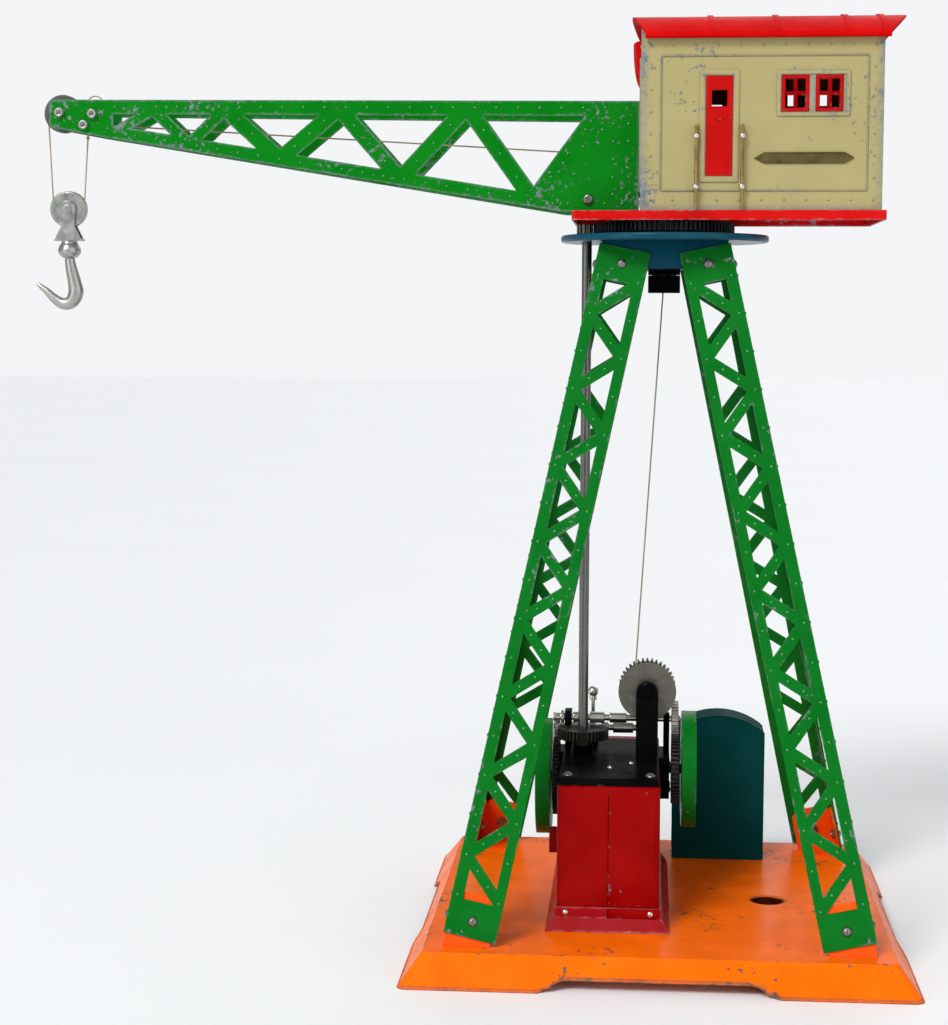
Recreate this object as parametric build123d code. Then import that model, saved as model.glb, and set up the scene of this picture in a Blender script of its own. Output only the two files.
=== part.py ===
from build123d import *
import os
from math import acos, atan2, cos, degrees, hypot, pi, radians, sin, sqrt, tan

# Toy tower crane of lacquered pressed steel, standing on four lattice legs. Millimetres.
# The origin is on the slewing axis, in the plane that the base stands on.
# +Z is up, -X points along the boom and -Y is the side with the drum's plain flange.

# ---- driving dimensions ----
SHEET = 1.0  # pressed steel of the base, legs, boom and cab
GAP = 0.3  # air between parts of different bodies
FIT = 0.05  # radial running clearance of a shaft in its bearing
TOUCH = 0.02  # air between faces that are screwed together

BASE_HALF = 127.0
DECK_HALF = 115.4
DECK_Z = 15.65
ARCH_FOOT_HALF = 58.5
ARCH_TOP_HALF = 46.5
ARCH_RISE = 5.4
DECK_HOLE_AT = (58.4, -8.5)
DECK_HOLE_R = 9.0

LEG_FOOT_HALF, LEG_FOOT_Z = 105.85, 22.9  # outer corner line of a leg, foot
LEG_TOP_HALF, LEG_TOP_Z = 33.2, 362.9  # and top
LEG_FACE = 26.4
LEG_OUTER_RAIL = 6.0
LEG_INNER_RAIL = 5.2
LEG_DIAGONAL = 5.6
LEG_END_PLATE = 18.0
LEG_BAYS = 8
LEG_FIRST_NODE = 19.6
LEG_SCREW_IN = 8.2  # screw's distance from either end
LEG_SCREW_ACROSS = 13.2
SCREW_R = 1.5
SCREW_HEAD_R = 2.6
SCREW_HEAD_H = 1.7
NUT_R = 2.9
NUT_H = 1.8

HEAD_R = 54.2
HEAD_Z = (363.9, 367.55)
HEAD_BRACKET_Z = 350.0
BUSH_R = 8.4
BUSH_Z = 347.2
SPINDLE_R = 6.0
SPINDLE_BORE_R = 3.5
SPINDLE_END_Z = 337.8

GEAR_MODULE = 0.8125
RING_TEETH = 88
SLEW_PINION_TEETH = 12
RING_Z = (369.0, 374.1)
PINION_Z = (368.4, 373.6)
SLEW_SHAFT_R = 2.6
SLEW_SHAFT_X = -GEAR_MODULE * (RING_TEETH + SLEW_PINION_TEETH) / 2
SLEW_WHEEL_TEETH = 36
SLEW_WHEEL_MODULE = 0.72
SLEW_WHEEL_Z = (99.8, 105.4)

FLOOR_X = (-47.5, 110.5)
FLOOR_HALF = 39.5
FLOOR_Z = (374.1, 379.0)
CAB_X = (-13.0, 108.1)
CAB_HALF = 37.5
ROOF_X = (-11.3, 111.0)
ROOF_TIP_X = (-17.9, 122.0)
ROOF_HALF = 42.0
ROOF_EAVE_Z = 467.2
ROOF_TOP_Z = 479.6
ROOF_RIBS = (22.0, 55.0, 90.0, 108.0)
DOOR_X, DOOR_Z = (19.6, 33.2), (396.1, 446.0)
DOOR_WINDOW_X, DOOR_WINDOW_Z = (22.5, 30.3), (430.8, 438.9)
WINDOWS_X = ((57.2, 71.1), (74.2, 88.1))
WINDOW_Z = (427.9, 446.2)
RAILS_X = (15.0, 38.0)
RAIL_Z = (379.8, 422.3)
RAIL_POSTS_Z = (390.6, 415.9)
RAIL_R = 0.9
RAIL_STANDOFF = 3.0
PLATE_X = (44.0, 94.0)
PLATE_Z = (402.2, 407.9)

BOOM_ROOT = (-13.6, 19.5)  # x and outer half-width where the boom meets the cab
BOOM_TIP = (-325.6, 8.6)
BOOM_TOP_Z = (439.0, 435.5)  # tip, root
BOOM_OUTLINE_LOW = ((-325.6, 424.6), (-299.7, 419.7), (-51.9, 379.2), (-13.6, 379.2))
BOOM_TOP_CHORD = 7.6
BOOM_LOW_CHORD = 7.0
BOOM_BRACE = 8.6
BOOM_TOP_NODES = (-269.1, -230.5, -169.8, -102.7, -32.4)
BOOM_LOW_NODES = (-289.9, -250.0, -201.3, -137.5, -68.0)
BOOM_NODE_TOP_Z, BOOM_LOW_NODE_RISE = 433.2, 3.4
BOOM_ROOT_SCREW = (-39.7, 385.6)
TIP_PINS = ((-320.0, 432.1), (-302.1, 431.3), (-306.9, 425.6))
TIP_PIN_R = 1.5
TIP_RIVET_R = 2.4

CORD_R = 0.4
TIP_SHEAVE_R = 10.0
TIP_SHEAVE_CORD_R = 8.5  # to the cord's centre, as for the other pulleys
GUIDE_R = 5.2
GUIDE_CORD_R = 4.9
CAB_PULLEY_AT = (-6.0, 402.3)
CAB_PULLEY_CORD_R = 6.0
BLOCK_AT = (-318.1, 381.8)
BLOCK_SHEAVE_R = 9.7
BLOCK_CORD_R = 8.3
CORD_CORNERS = ((0.0, 407.94), (-304.4, 426.54), (-328.5, 456.1))  # where its straight runs would meet
HOOK_BALL_Z = 360.3

MOTOR_X = -25.5
HOUSING_HALF_X = 26.0
HOUSING_Y = (-70.5, 61.5)
HOUSING_TOP_Z = 89.0
MOTOR_AXIS_Z = 50.0
SKIRT_OUT = 5.6
SKIRT_Z = 21.8
FRAME_TOP_Z = 93.0
CLUTCH_AT = (-36.0, 27.0, 97.5)
CLUTCH_KNOB_Z = 120.5
CLUTCH_PIN_R = 1.2

DRUM_X, DRUM_Z = -6.5, 127.0
DRUM_Y = (-8.0, 7.0)
DRUM_FLANGE_R = 15.3
DRUM_CORE_R = 4.2
DRUM_CORD_R = 6.4  # outside the turns wound at rest
DRUM_GEAR_TEETH = 36
DRUM_GEAR_MODULE = 0.8
WORM_CLEAR = 0.15  # between a worm's crests and the tips of its wheel
HOIST_SHAFT_Y, HOIST_SHAFT_Z = 9.5, 109.4
SLEW_DRIVE_Y, SLEW_DRIVE_Z = 17.2, 102.6
DRIVE_SHAFT_R = 1.8
WHEEL_MODULE = 0.75
RIGHT_TEETH = (48, 24)  # hand wheel's gear and its pinion
LEFT_TEETH = (54, 18)
WHEEL_DROP_Y = 9.5  # how far in front of its pinion a hand wheel's axle lies
HAND_WHEEL_R = 31.0
HAND_WHEEL_WIDTH = 7.6
RIGHT_GEAR_X = (6.6, 10.4)
LEFT_GEAR_X = (-56.6, -53.4)
RIGHT_WHEEL_X = 12.0  # inner face
LEFT_WHEEL_X = -57.6

BOX_X = (9.0, 60.3)
BOX_Y = (74.0, 97.0)
BOX_SHOULDER_Z = 89.5
BOX_PEAK_Z = 98.8

# ---- lengths that follow ----
WHEEL_CENTRES = WHEEL_MODULE * sum(RIGHT_TEETH) / 2
WHEEL_DROP_Z = sqrt(WHEEL_CENTRES**2 - WHEEL_DROP_Y**2)
RIGHT_AXLE = (HOIST_SHAFT_Y - WHEEL_DROP_Y, HOIST_SHAFT_Z - WHEEL_DROP_Z)
LEFT_AXLE = (SLEW_DRIVE_Y - WHEEL_DROP_Y, SLEW_DRIVE_Z - WHEEL_DROP_Z)
LEG_RUN = LEG_FOOT_HALF - LEG_TOP_HALF
LEG_LENGTH = sqrt(2 * LEG_RUN**2 + (LEG_TOP_Z - LEG_FOOT_Z) ** 2)
LEG_PITCH = (LEG_LENGTH - 2 * LEG_FIRST_NODE + 3.0) / LEG_BAYS
LEG_SLOPE = LEG_RUN / (LEG_TOP_Z - LEG_FOOT_Z)
BOOM_TURN = degrees(atan2(BOOM_ROOT[1] - BOOM_TIP[1], BOOM_ROOT[0] - BOOM_TIP[0]))


# ---- plain shapes ----
def block(x, y, z):
    """A box between two values on each axis."""
    x, y, z = sorted(x), sorted(y), sorted(z)
    size = (x[1] - x[0], y[1] - y[0], z[1] - z[0])
    middle = Pos((x[0] + x[1]) / 2, (y[0] + y[1]) / 2, (z[0] + z[1]) / 2)
    return middle * Box(*size)


def rod_z(r, z, x=0.0, y=0.0):
    return Pos(x, y, (z[0] + z[1]) / 2) * Cylinder(r, z[1] - z[0])


def rod_x(r, x, y, z):
    return Pos((x[0] + x[1]) / 2, y, z) * Rot(0, 90, 0) * Cylinder(r, x[1] - x[0])


def rod_y(r, y, x, z):
    return Pos(x, (y[0] + y[1]) / 2, z) * Rot(90, 0, 0) * Cylinder(r, y[1] - y[0])


def outline(points):
    return make_face(Polyline(*points, close=True))


def prism_y(face, y):
    """A face drawn in X and Z, as a solid between two values of y."""
    return extrude(Plane.XZ.offset(-y[0]) * face, amount=-(y[1] - y[0]))


def prism_x(face, x):
    """A face drawn in Y and Z, as a solid between two values of x."""
    return extrude(Plane.YZ.offset(x[0]) * face, amount=x[1] - x[0])


def prism_z(face, z):
    return extrude(Plane.XY.offset(z[0]) * face, amount=z[1] - z[0])


def frustum(half_low, half_high, z, round_low=0.0, round_high=0.0):
    """A square pyramid's slice, with rounded corners if their radii are given."""
    low = RectangleRounded(2 * half_low, 2 * half_low, round_low) if round_low else None
    high = RectangleRounded(2 * half_high, 2 * half_high, round_high) if round_high else None
    low = low or Rectangle(2 * half_low, 2 * half_low)
    high = high or Rectangle(2 * half_high, 2 * half_high)
    return loft([Plane.XY.offset(z[0]) * low, Plane.XY.offset(z[1]) * high], ruled=True)


def joined(shapes):
    """One solid from shapes that overlap."""
    first, *rest = shapes
    return first.fuse(*rest).clean() if rest else first


def hexagon(r, height):
    return extrude(RegularPolygon(r, 6), amount=height)


def turned_x(profile, x, y, z):
    """A profile of (distance along X, radius) pairs, turned about an axis along X."""
    face = Plane.XY * outline(profile)
    return Pos(x, y, z) * revolve(face, Axis.X)


def strip(a, b, width):
    """A bar of a lattice from point a to point b."""
    length = hypot(b[0] - a[0], b[1] - a[1])
    side = ((a[1] - b[1]) / length * width / 2, (b[0] - a[0]) / length * width / 2)
    corners = [(p[0] + s * side[0], p[1] + s * side[1]) for p, s in ((a, 1), (b, 1), (b, -1), (a, -1))]
    return outline(corners)


# ---- gears ----
def involute_gear(teeth, module, phase=0.0, stub=0.8, backlash=0.14, flank_points=4):
    """A spur gear's outline, with tooth 0 centred at phase degrees."""
    pitch_r = module * teeth / 2
    base_r = pitch_r * cos(radians(20))
    tip_r = pitch_r + stub * module
    root_r = pitch_r - (stub + 0.25) * module
    start_r = max(base_r, root_r + 0.05)
    half_at_pitch = (pi * module / 2 - backlash) / 2 / pitch_r

    def roll(r):
        angle = acos(min(1.0, base_r / r))
        return tan(angle) - angle

    points = []
    for tooth in range(teeth):
        middle = radians(phase) + 2 * pi * tooth / teeth
        radii = [start_r + (tip_r - start_r) * i / (flank_points - 1) for i in range(flank_points)]
        flank = [(r, half_at_pitch + roll(pitch_r) - roll(r)) for r in radii]
        flank.insert(0, (root_r, flank[0][1]))
        side = [(r, middle - half) for r, half in flank]
        side += [(r, middle + half) for r, half in reversed(flank)]
        points += [(r * cos(a), r * sin(a)) for r, a in side]
    return outline(points)


def gear_z(face, z, x=0.0, y=0.0):
    return Pos(x, y, 0) * prism_z(face, z)


def gear_x(face, x, y, z):
    return Pos(0, y, z) * prism_x(face, x)


def gear_y(face, y, x, z):
    return Pos(x, 0, z) * prism_y(face, y)


def worm(x, y, z, length, tip_r, pitch):
    """A worm along X, drawn as a row of rings whose crests stand just clear of its wheel's tips."""
    turns = int(length / pitch)
    rings = [
        turned_x([(-pitch * 0.32, 0.5), (-pitch * 0.12, tip_r), (pitch * 0.12, tip_r), (pitch * 0.32, 0.5)],
                 x + (i - (turns - 1) / 2) * pitch, y, z)
        for i in range(turns)
    ]
    core = rod_x(tip_r - 0.7, (x - length / 2, x + length / 2), y, z)
    return joined([core, *rings])


# ---- base and legs ----
def arch():
    """The opening under one side of the base, seen along that side's normal."""
    half, top = ARCH_FOOT_HALF, ARCH_TOP_HALF
    points = (
        (-half - 2, -1.0), (-half, 0.0), (-top, ARCH_RISE),
        (top, ARCH_RISE), (half, 0.0), (half + 2, -1.0),
    )
    face = outline(points)
    crown = [v for v in face.vertices() if v.Y > ARCH_RISE - 0.1]
    return fillet(crown, 9.0)


def base_tray():
    outer = frustum(BASE_HALF, DECK_HALF, (0.0, DECK_Z), 5.0, 4.0)
    inner = frustum(BASE_HALF - SHEET * 1.2, DECK_HALF - SHEET * 1.2, (0.0, DECK_Z - SHEET), 4.0, 3.0)
    tray = outer - inner
    tray -= prism_y(arch(), (-BASE_HALF - 1, BASE_HALF + 1))
    tray -= prism_x(arch(), (-BASE_HALF - 1, BASE_HALF + 1))
    tray -= rod_z(DECK_HOLE_R, (DECK_Z - 3, DECK_Z + 1), *DECK_HOLE_AT)
    return tray


def leg_direction():
    run = Vector(-LEG_RUN, LEG_RUN, LEG_TOP_Z - LEG_FOOT_Z)
    return run.normalized()


def leg_plane(across):
    """A plane with X up the front right leg's outer corner, Y across the face named by across."""
    along = leg_direction()
    flat = (across - along * across.dot(along)).normalized()
    return Plane(origin=(LEG_FOOT_HALF, -LEG_FOOT_HALF, LEG_FOOT_Z), x_dir=along, z_dir=along.cross(flat))


def leg_face():
    """One lattice face of a leg: X runs up the leg and Y from its outer corner inwards."""
    length, width = LEG_LENGTH, LEG_FACE
    outer_line, inner_line = LEG_OUTER_RAIL / 2, width - LEG_INNER_RAIL / 2
    bars = [outline(((0, 0), (length, 0), (length, LEG_OUTER_RAIL), (0, LEG_OUTER_RAIL)))]
    inner = width - LEG_INNER_RAIL
    bars.append(outline(((0, inner), (length, inner), (length, width), (0, width))))
    for low in (0, length - LEG_END_PLATE):
        bars.append(outline(((low, 0), (low + LEG_END_PLATE, 0), (low + LEG_END_PLATE, width), (low, width))))
    for bay in range(LEG_BAYS):
        low = LEG_FIRST_NODE + bay * LEG_PITCH
        middle, high = low + LEG_PITCH / 2, low + LEG_PITCH
        bars.append(strip((low, inner_line), (middle, outer_line), LEG_DIAGONAL))
        bars.append(strip((middle, outer_line), (high, inner_line), LEG_DIAGONAL))
    return joined(bars)


def screw_places():
    return (LEG_SCREW_IN, LEG_LENGTH - LEG_SCREW_IN)


def leg():
    """The front right leg: a lattice angle, folded along its outer corner."""
    face = leg_face()
    for along in screw_places():
        face -= Pos(along, LEG_SCREW_ACROSS) * Circle(SCREW_R + 0.1)
    front = extrude(leg_plane(Vector(-1, 0, 0)) * face, amount=-SHEET)
    side = extrude(leg_plane(Vector(0, 1, 0)) * face, amount=SHEET)
    return joined([front, side])


def leg_screw_frames():
    """Planes at the front right leg's four screws, with Z pointing out of the leg."""
    frames = []
    for across, sign in ((Vector(-1, 0, 0), 1), (Vector(0, 1, 0), -1)):
        plane = leg_plane(across)
        for along in screw_places():
            spot = plane.from_local_coords(Vector(along, LEG_SCREW_ACROSS, 0))
            frames.append(Plane(origin=spot, z_dir=plane.z_dir * sign))
    return frames


def round_head_screw(plane):
    """A slotted screw through two sheets, its head on the plane."""
    reach = 2 * SHEET + TOUCH + NUT_H + 0.6
    shank = Pos(0, 0, -reach / 2) * Cylinder(SCREW_R, reach)
    ball_r = (SCREW_HEAD_R**2 + SCREW_HEAD_H**2) / (2 * SCREW_HEAD_H)
    head = Pos(0, 0, SCREW_HEAD_H - ball_r) * Sphere(ball_r)
    head &= Pos(0, 0, SCREW_HEAD_H / 2) * Cylinder(SCREW_HEAD_R, SCREW_HEAD_H)
    slot = Pos(0, 0, SCREW_HEAD_H) * Box(2 * SCREW_HEAD_R, 0.6, 1.2)
    return plane * joined([shank, head - slot])


def nut(plane):
    body = hexagon(NUT_R, NUT_H) - Cylinder(SCREW_R + TOUCH, 3 * NUT_H)
    return plane * Pos(0, 0, -(2 * SHEET + 2 * TOUCH + NUT_H)) * body


def all_quarters(shapes):
    """Shapes at the front right corner and their mirror images at the other three."""
    front = list(shapes) + [mirror(s, about=Plane.YZ) for s in shapes]
    return front + [mirror(s, about=Plane.XZ) for s in front]


def foot_bracket():
    """The angle on the deck that the front right leg is screwed to."""
    plates = []
    size = 21.5
    for across, sign in ((Vector(-1, 0, 0), -1), (Vector(0, 1, 0), 1)):
        face = outline(((-12.0, 1.1), (17.5, 1.1), (21.5, 5.0), (21.5, 19.5), (17.5, 24.0), (-12.0, 24.0)))
        face -= Pos(LEG_SCREW_IN, LEG_SCREW_ACROSS) * Circle(SCREW_R + 0.1)
        plane = leg_plane(across)
        inside = plane.offset(sign * (SHEET + TOUCH))
        plates.append(extrude(inside * face, amount=sign * SHEET))
    corner = LEG_FOOT_HALF + 0.1
    flange = block((corner - size, corner), (-corner, -corner + size), (DECK_Z, DECK_Z + SHEET))
    deck_floor = block((0, 130), (-130, 0), (DECK_Z, 60))
    return (joined([*plates, flange])) & deck_floor


# ---- head ----
def leg_half_at(z):
    return LEG_TOP_HALF + (LEG_TOP_Z - z) * LEG_SLOPE


def head_plate():
    plate = rod_z(HEAD_R, HEAD_Z)
    plate = fillet(plate.edges().filter_by(GeomType.CIRCLE), 1.2)
    plate -= rod_z(7.5 + TOUCH, (360, 370))
    plate -= rod_z(SLEW_SHAFT_R + FIT, (360, 370), SLEW_SHAFT_X)
    return plate


def head_bracket():
    """The tapered square socket under the head plate, which the legs' tops are screwed round."""
    top_z = HEAD_Z[0] - TOUCH
    inset = SHEET / cos(atan2(LEG_SLOPE, 1)) + 2 * TOUCH
    wall = SHEET / cos(atan2(LEG_SLOPE, 1))
    low, high = leg_half_at(HEAD_BRACKET_Z) - inset, leg_half_at(top_z) - inset
    outer = frustum(low, high, (HEAD_BRACKET_Z, top_z))
    inner_top = top_z - 1.2
    inner_high = leg_half_at(inner_top) - inset - wall
    shell = outer - frustum(low - wall, inner_high, (HEAD_BRACKET_Z, inner_top))
    web = block((-low + 1, low - 1), (-9.5, 9.5), (HEAD_BRACKET_Z, HEAD_BRACKET_Z + 1.2))
    socket = joined([shell, web]) - rod_z(BUSH_R + TOUCH, (340, top_z + 1))
    holes = [plane * Cylinder(SCREW_R + 0.1, 8) for plane in leg_screw_frames() if plane.origin.Z > 300]
    for hole in all_quarters(holes):
        socket -= hole
    return socket


def head_bush():
    body = rod_z(BUSH_R, (BUSH_Z, HEAD_Z[0] - TOUCH)) + rod_z(7.5, (HEAD_Z[0] - 1, HEAD_Z[1]))
    return body - rod_z(SPINDLE_R + FIT, (330, 380))


# ---- slewing head: gear, spindle and floor ----
def ring_gear():
    teeth = gear_z(involute_gear(RING_TEETH, GEAR_MODULE), RING_Z)
    hub = rod_z(30.0, (RING_Z[1] - 1, FLOOR_Z[1] - SHEET - 2 * TOUCH))
    return joined([teeth, hub]) - rod_z(SPINDLE_R + TOUCH, (360, 380))


def spindle():
    tube = rod_z(SPINDLE_R, (SPINDLE_END_Z, FLOOR_Z[1] + 3.0))
    thrust = rod_z(12.0, (HEAD_Z[1] + FIT, RING_Z[0] - TOUCH))
    return joined([tube, thrust]) - rod_z(SPINDLE_BORE_R, (330, 390))


def spindle_collar():
    collar = rod_z(BUSH_R, (SPINDLE_END_Z, BUSH_Z - GAP)) - rod_z(SPINDLE_R + TOUCH, (330, 350))
    return fillet(collar.edges().filter_by(GeomType.CIRCLE).group_by(Axis.Z)[0][-1:], 0.5)


def floor_plate():
    outer = block(FLOOR_X, (-FLOOR_HALF, FLOOR_HALF), FLOOR_Z)
    outer = fillet(outer.edges().filter_by(Axis.Z), 1.5)
    x = (FLOOR_X[0] + SHEET, FLOOR_X[1] - SHEET)
    half = FLOOR_HALF - SHEET
    tray = outer - block(x, (-half, half), (FLOOR_Z[0] - 1, FLOOR_Z[1] - SHEET))
    return tray - rod_z(SPINDLE_R + TOUCH, (370, 390))


# ---- cab ----
def roof_arc(half, eave_z, top_z, y):
    """Height of an arched roof at y, for a roof of the given half-width, eave and top."""
    rise = top_z - eave_z
    r = (half**2 + rise**2) / (2 * rise)
    return top_z - r + sqrt(r**2 - y**2)


def arched_face(half, low_z, eave_z, top_z):
    """A gable outline in Y and Z: upright sides below an arc."""
    left, top, right = (-half, eave_z), (0, top_z), (half, eave_z)
    arc = ThreePointArc(left, top, right)
    sides = Polyline(right, (half, low_z), (-half, low_z), left)
    return make_face([arc, sides])


def roof_band(x, half, eave_z, top_z, thickness):
    """An arched sheet between two values of x."""
    outer = arched_face(half, eave_z - 3, eave_z, top_z)
    inner = arched_face(half + 1, eave_z - 4, eave_z - thickness, top_z - thickness)
    return prism_x(outer, x) - prism_x(inner, (x[0] - 1, x[1] + 1))


def cab_roof():
    sheet = roof_band(ROOF_TIP_X, ROOF_HALF, ROOF_EAVE_Z, ROOF_TOP_Z, SHEET)
    ribs = []
    for x in ROOF_RIBS:
        span = (x - 1.3, x + 1.3)
        ribs.append(roof_band(span, ROOF_HALF, ROOF_EAVE_Z + 0.7, ROOF_TOP_Z + 0.7, SHEET + 0.4))
    roof = joined([sheet, *ribs])
    keep = []
    for end, tip, sign in ((ROOF_X[0], ROOF_TIP_X[0], 1), (ROOF_X[1], ROOF_TIP_X[1], -1)):
        bow = abs(tip - end)
        r = (ROOF_HALF**2 + bow**2) / (2 * bow)
        keep.append(rod_z(r, (ROOF_EAVE_Z - 6, ROOF_TOP_Z + 6), tip + sign * r))
    for disc in keep:
        roof &= disc
    for side in (-1, 1):
        roll = rod_x(1.7, (ROOF_X[0] + 0.2, ROOF_X[1] - 0.2), side * (ROOF_HALF - 1.2), ROOF_EAVE_Z - 1.3)
        roof = joined([roof, roll])
    return roof


def wall_opening(x, z):
    return block(x, (-CAB_HALF - 2, CAB_HALF + 2), z)


def cab_walls():
    under_roof = SHEET + 0.25
    eave = roof_arc(ROOF_HALF, ROOF_EAVE_Z, ROOF_TOP_Z, CAB_HALF) - under_roof
    outer = prism_x(arched_face(CAB_HALF, FLOOR_Z[1], eave, ROOF_TOP_Z - under_roof), CAB_X)
    x = (CAB_X[0] + SHEET, CAB_X[1] - SHEET)
    inside = block(x, (-CAB_HALF + SHEET, CAB_HALF - SHEET), (FLOOR_Z[1] - 1, ROOF_TOP_Z + 5))
    cab = outer - inside
    cab -= wall_opening(DOOR_X, DOOR_Z)
    for x in WINDOWS_X:
        cab -= wall_opening(x, WINDOW_Z)
    pulley_z = CAB_PULLEY_AT[1]
    slot = block((CAB_X[0] - 2, CAB_X[0] + 3), (-3.5, 3.5), (pulley_z - 8, pulley_z + 13))
    return cab - slot


def inset(x, z, holes):
    """A pressed panel behind an opening of the front wall."""
    y = (-CAB_HALF + TOUCH, -CAB_HALF + SHEET - TOUCH)
    fit = 2 * TOUCH
    panel = block((x[0] + fit, x[1] - fit), y, (z[0] + fit, z[1] - fit))
    for hole_x, hole_z in holes:
        panel -= block(hole_x, (-CAB_HALF - 1, -CAB_HALF + 3), hole_z)
    return panel


def both_sides(shapes):
    return list(shapes) + [mirror(s, about=Plane.XZ) for s in shapes]


def doors():
    return both_sides([inset(DOOR_X, DOOR_Z, [(DOOR_WINDOW_X, DOOR_WINDOW_Z)])])


def window_frames():
    frames = []
    border, bar = 2.1, 1.0
    for x in WINDOWS_X:
        middle_x, middle_z = sum(x) / 2, sum(WINDOW_Z) / 2
        columns = ((x[0] + border, middle_x - bar), (middle_x + bar, x[1] - border))
        rows = ((WINDOW_Z[0] + border, middle_z - bar), (middle_z + bar, WINDOW_Z[1] - border))
        panes = [(column, row) for column in columns for row in rows]
        frames.append(inset(x, WINDOW_Z, panes))
    return both_sides(frames)


def handrails():
    y = -CAB_HALF - RAIL_STANDOFF
    rails = []
    for x in RAILS_X:
        bar = rod_z(RAIL_R, (RAIL_Z[0], RAIL_Z[1] - 1.5), x, y)
        bend = Pos(x, y, RAIL_Z[1] - 1.5) * Sphere(RAIL_R)
        foot = rod_y(RAIL_R, (y, -CAB_HALF - TOUCH), x, RAIL_Z[1] - 1.5)
        rails.append(joined([bar, bend, foot]))
    return both_sides(rails)


def rail_posts():
    """Turned stanchions that hold each handrail off the wall."""
    posts = []
    y = -CAB_HALF - RAIL_STANDOFF
    for x in RAILS_X:
        for z in RAIL_POSTS_Z:
            stem = rod_y(0.8, (y, -CAB_HALF - TOUCH), x, z)
            post = joined([Pos(x, y, z) * Sphere(1.7), stem])
            posts.append(post - rod_z(RAIL_R + TOUCH, (z - 3, z + 3), x, y))
    return both_sides(posts)


def side_plates():
    """Plain plates with pointed ends, one on each side wall."""
    (x0, x1), (z0, z1) = PLATE_X, PLATE_Z
    middle = (z0 + z1) / 2
    points = ((x0, middle), (x0 + 5, z0), (x1 - 5, z0), (x1, middle), (x1 - 5, z1), (x0 + 5, z1))
    plate = prism_y(outline(points), (-CAB_HALF - 0.7, -CAB_HALF - TOUCH))
    return both_sides([plate])


def end_hood():
    """The bowed hood over the boom end of the cab."""
    low, high = 443.6, 466.0
    x = CAB_X[0] - TOUCH
    outer = Pos(x, 0, high) * scale(Sphere(1), by=(4.2, 17.0, high - low))
    shell = outer & block((x - 10, x), (-20, 20), (low - 2, high))
    return shell


# ---- boom ----
def boom_plane():
    """X runs from tip to root along the front boom plate's outer face, and Y is up."""
    along = Vector(BOOM_ROOT[0] - BOOM_TIP[0], BOOM_TIP[1] - BOOM_ROOT[1], 0).normalized()
    return Plane(origin=(BOOM_TIP[0], -BOOM_TIP[1], 0), x_dir=along, z_dir=along.cross(Vector(0, 0, 1)))


def boom_top_z(x):
    share = (x - BOOM_TIP[0]) / (BOOM_ROOT[0] - BOOM_TIP[0])
    return BOOM_TOP_Z[0] + share * (BOOM_TOP_Z[1] - BOOM_TOP_Z[0])


def boom_low_z(x):
    low = BOOM_OUTLINE_LOW
    for (x0, z0), (x1, z1) in zip(low, low[1:]):
        if x <= x1:
            return z0 + (z1 - z0) * (x - x0) / (x1 - x0)
    return low[-1][1]


def boom_face():
    """The side plate's outline and lattice, drawn in X and Z."""
    top = [(x, boom_top_z(x)) for x in (BOOM_ROOT[0], BOOM_TIP[0])]
    body = outline([*BOOM_OUTLINE_LOW, *top])
    nose = [v for v in body.vertices() if v.X < BOOM_TIP[0] + 1]
    body = fillet(nose, 3.0)
    first, last = BOOM_LOW_NODES[0] - 1.0, BOOM_TOP_NODES[-1] + 1.0
    top_line = [(x, boom_top_z(x) - BOOM_TOP_CHORD) for x in (last, first)]
    low_line = [(x, boom_low_z(x) + BOOM_LOW_CHORD) for x in (first, BOOM_LOW_NODES[-1] + 5.0)]
    opening = outline([*low_line, *top_line])
    braces = []
    for i, top_x in enumerate(BOOM_TOP_NODES):
        top_point = (top_x, BOOM_NODE_TOP_Z)
        for low_x in BOOM_LOW_NODES[i:i + 2]:
            low_point = (low_x, boom_low_z(low_x) + BOOM_LOW_NODE_RISE)
            reach = hypot(top_x - low_x, top_point[1] - low_point[1])
            width = min(BOOM_BRACE, 0.24 * reach)
            braces.append(strip(low_point, top_point, width))
    for brace in braces:
        opening -= brace
    return body - opening


def boom_plate():
    face = Pos(-BOOM_TIP[0], 0, 0) * boom_face()
    plate = extrude(boom_plane() * face, amount=-SHEET)
    for x, z in (*TIP_PINS, BOOM_ROOT_SCREW):
        plate -= rod_y(TIP_PIN_R + TOUCH, (-30, 0), x, z)
    return plate


def boom_half_at(x):
    """Half-width of the gap between the boom's side plates at x."""
    share = (x - BOOM_TIP[0]) / (BOOM_ROOT[0] - BOOM_TIP[0])
    return BOOM_TIP[1] + share * (BOOM_ROOT[1] - BOOM_TIP[1]) - SHEET / cos(radians(BOOM_TURN))


def root_bracket():
    """The channel on the floor plate that the boom's side plates are screwed to."""
    x, z = (-44.5, -20.0), (FLOOR_Z[1] + TOUCH, 391.0)
    corners = [(x[0], -boom_half_at(x[0])), (x[1], -boom_half_at(x[1]))]
    corners += [(a, -b) for a, b in reversed(corners)]
    inward = [(a, b * (1 - 0.06 / abs(b))) for a, b in corners]
    body = prism_z(outline(inward), z)
    hollow = [(x[0] - 1, -boom_half_at(x[0]) + 1.2), (x[1] + 1, -boom_half_at(x[1]) + 1.2)]
    hollow += [(a, -b) for a, b in reversed(hollow)]
    body -= prism_z(outline(hollow), (z[0] + 1.2, z[1] + 1))
    return body - rod_y(TIP_PIN_R + TOUCH, (-30, 30), *BOOM_ROOT_SCREW)


def root_screws():
    x, z = BOOM_ROOT_SCREW
    half = boom_half_at(x) + SHEET + 0.15
    shank = rod_y(TIP_PIN_R, (-half - 0.5, -half + 5.5), x, z)
    head = rod_y(SCREW_HEAD_R, (-half - 1.7, -half - 0.12), x, z)
    head = fillet(head.edges().group_by(Axis.Y)[0], 1.0)
    return both_sides([joined([shank, head])])


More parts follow.
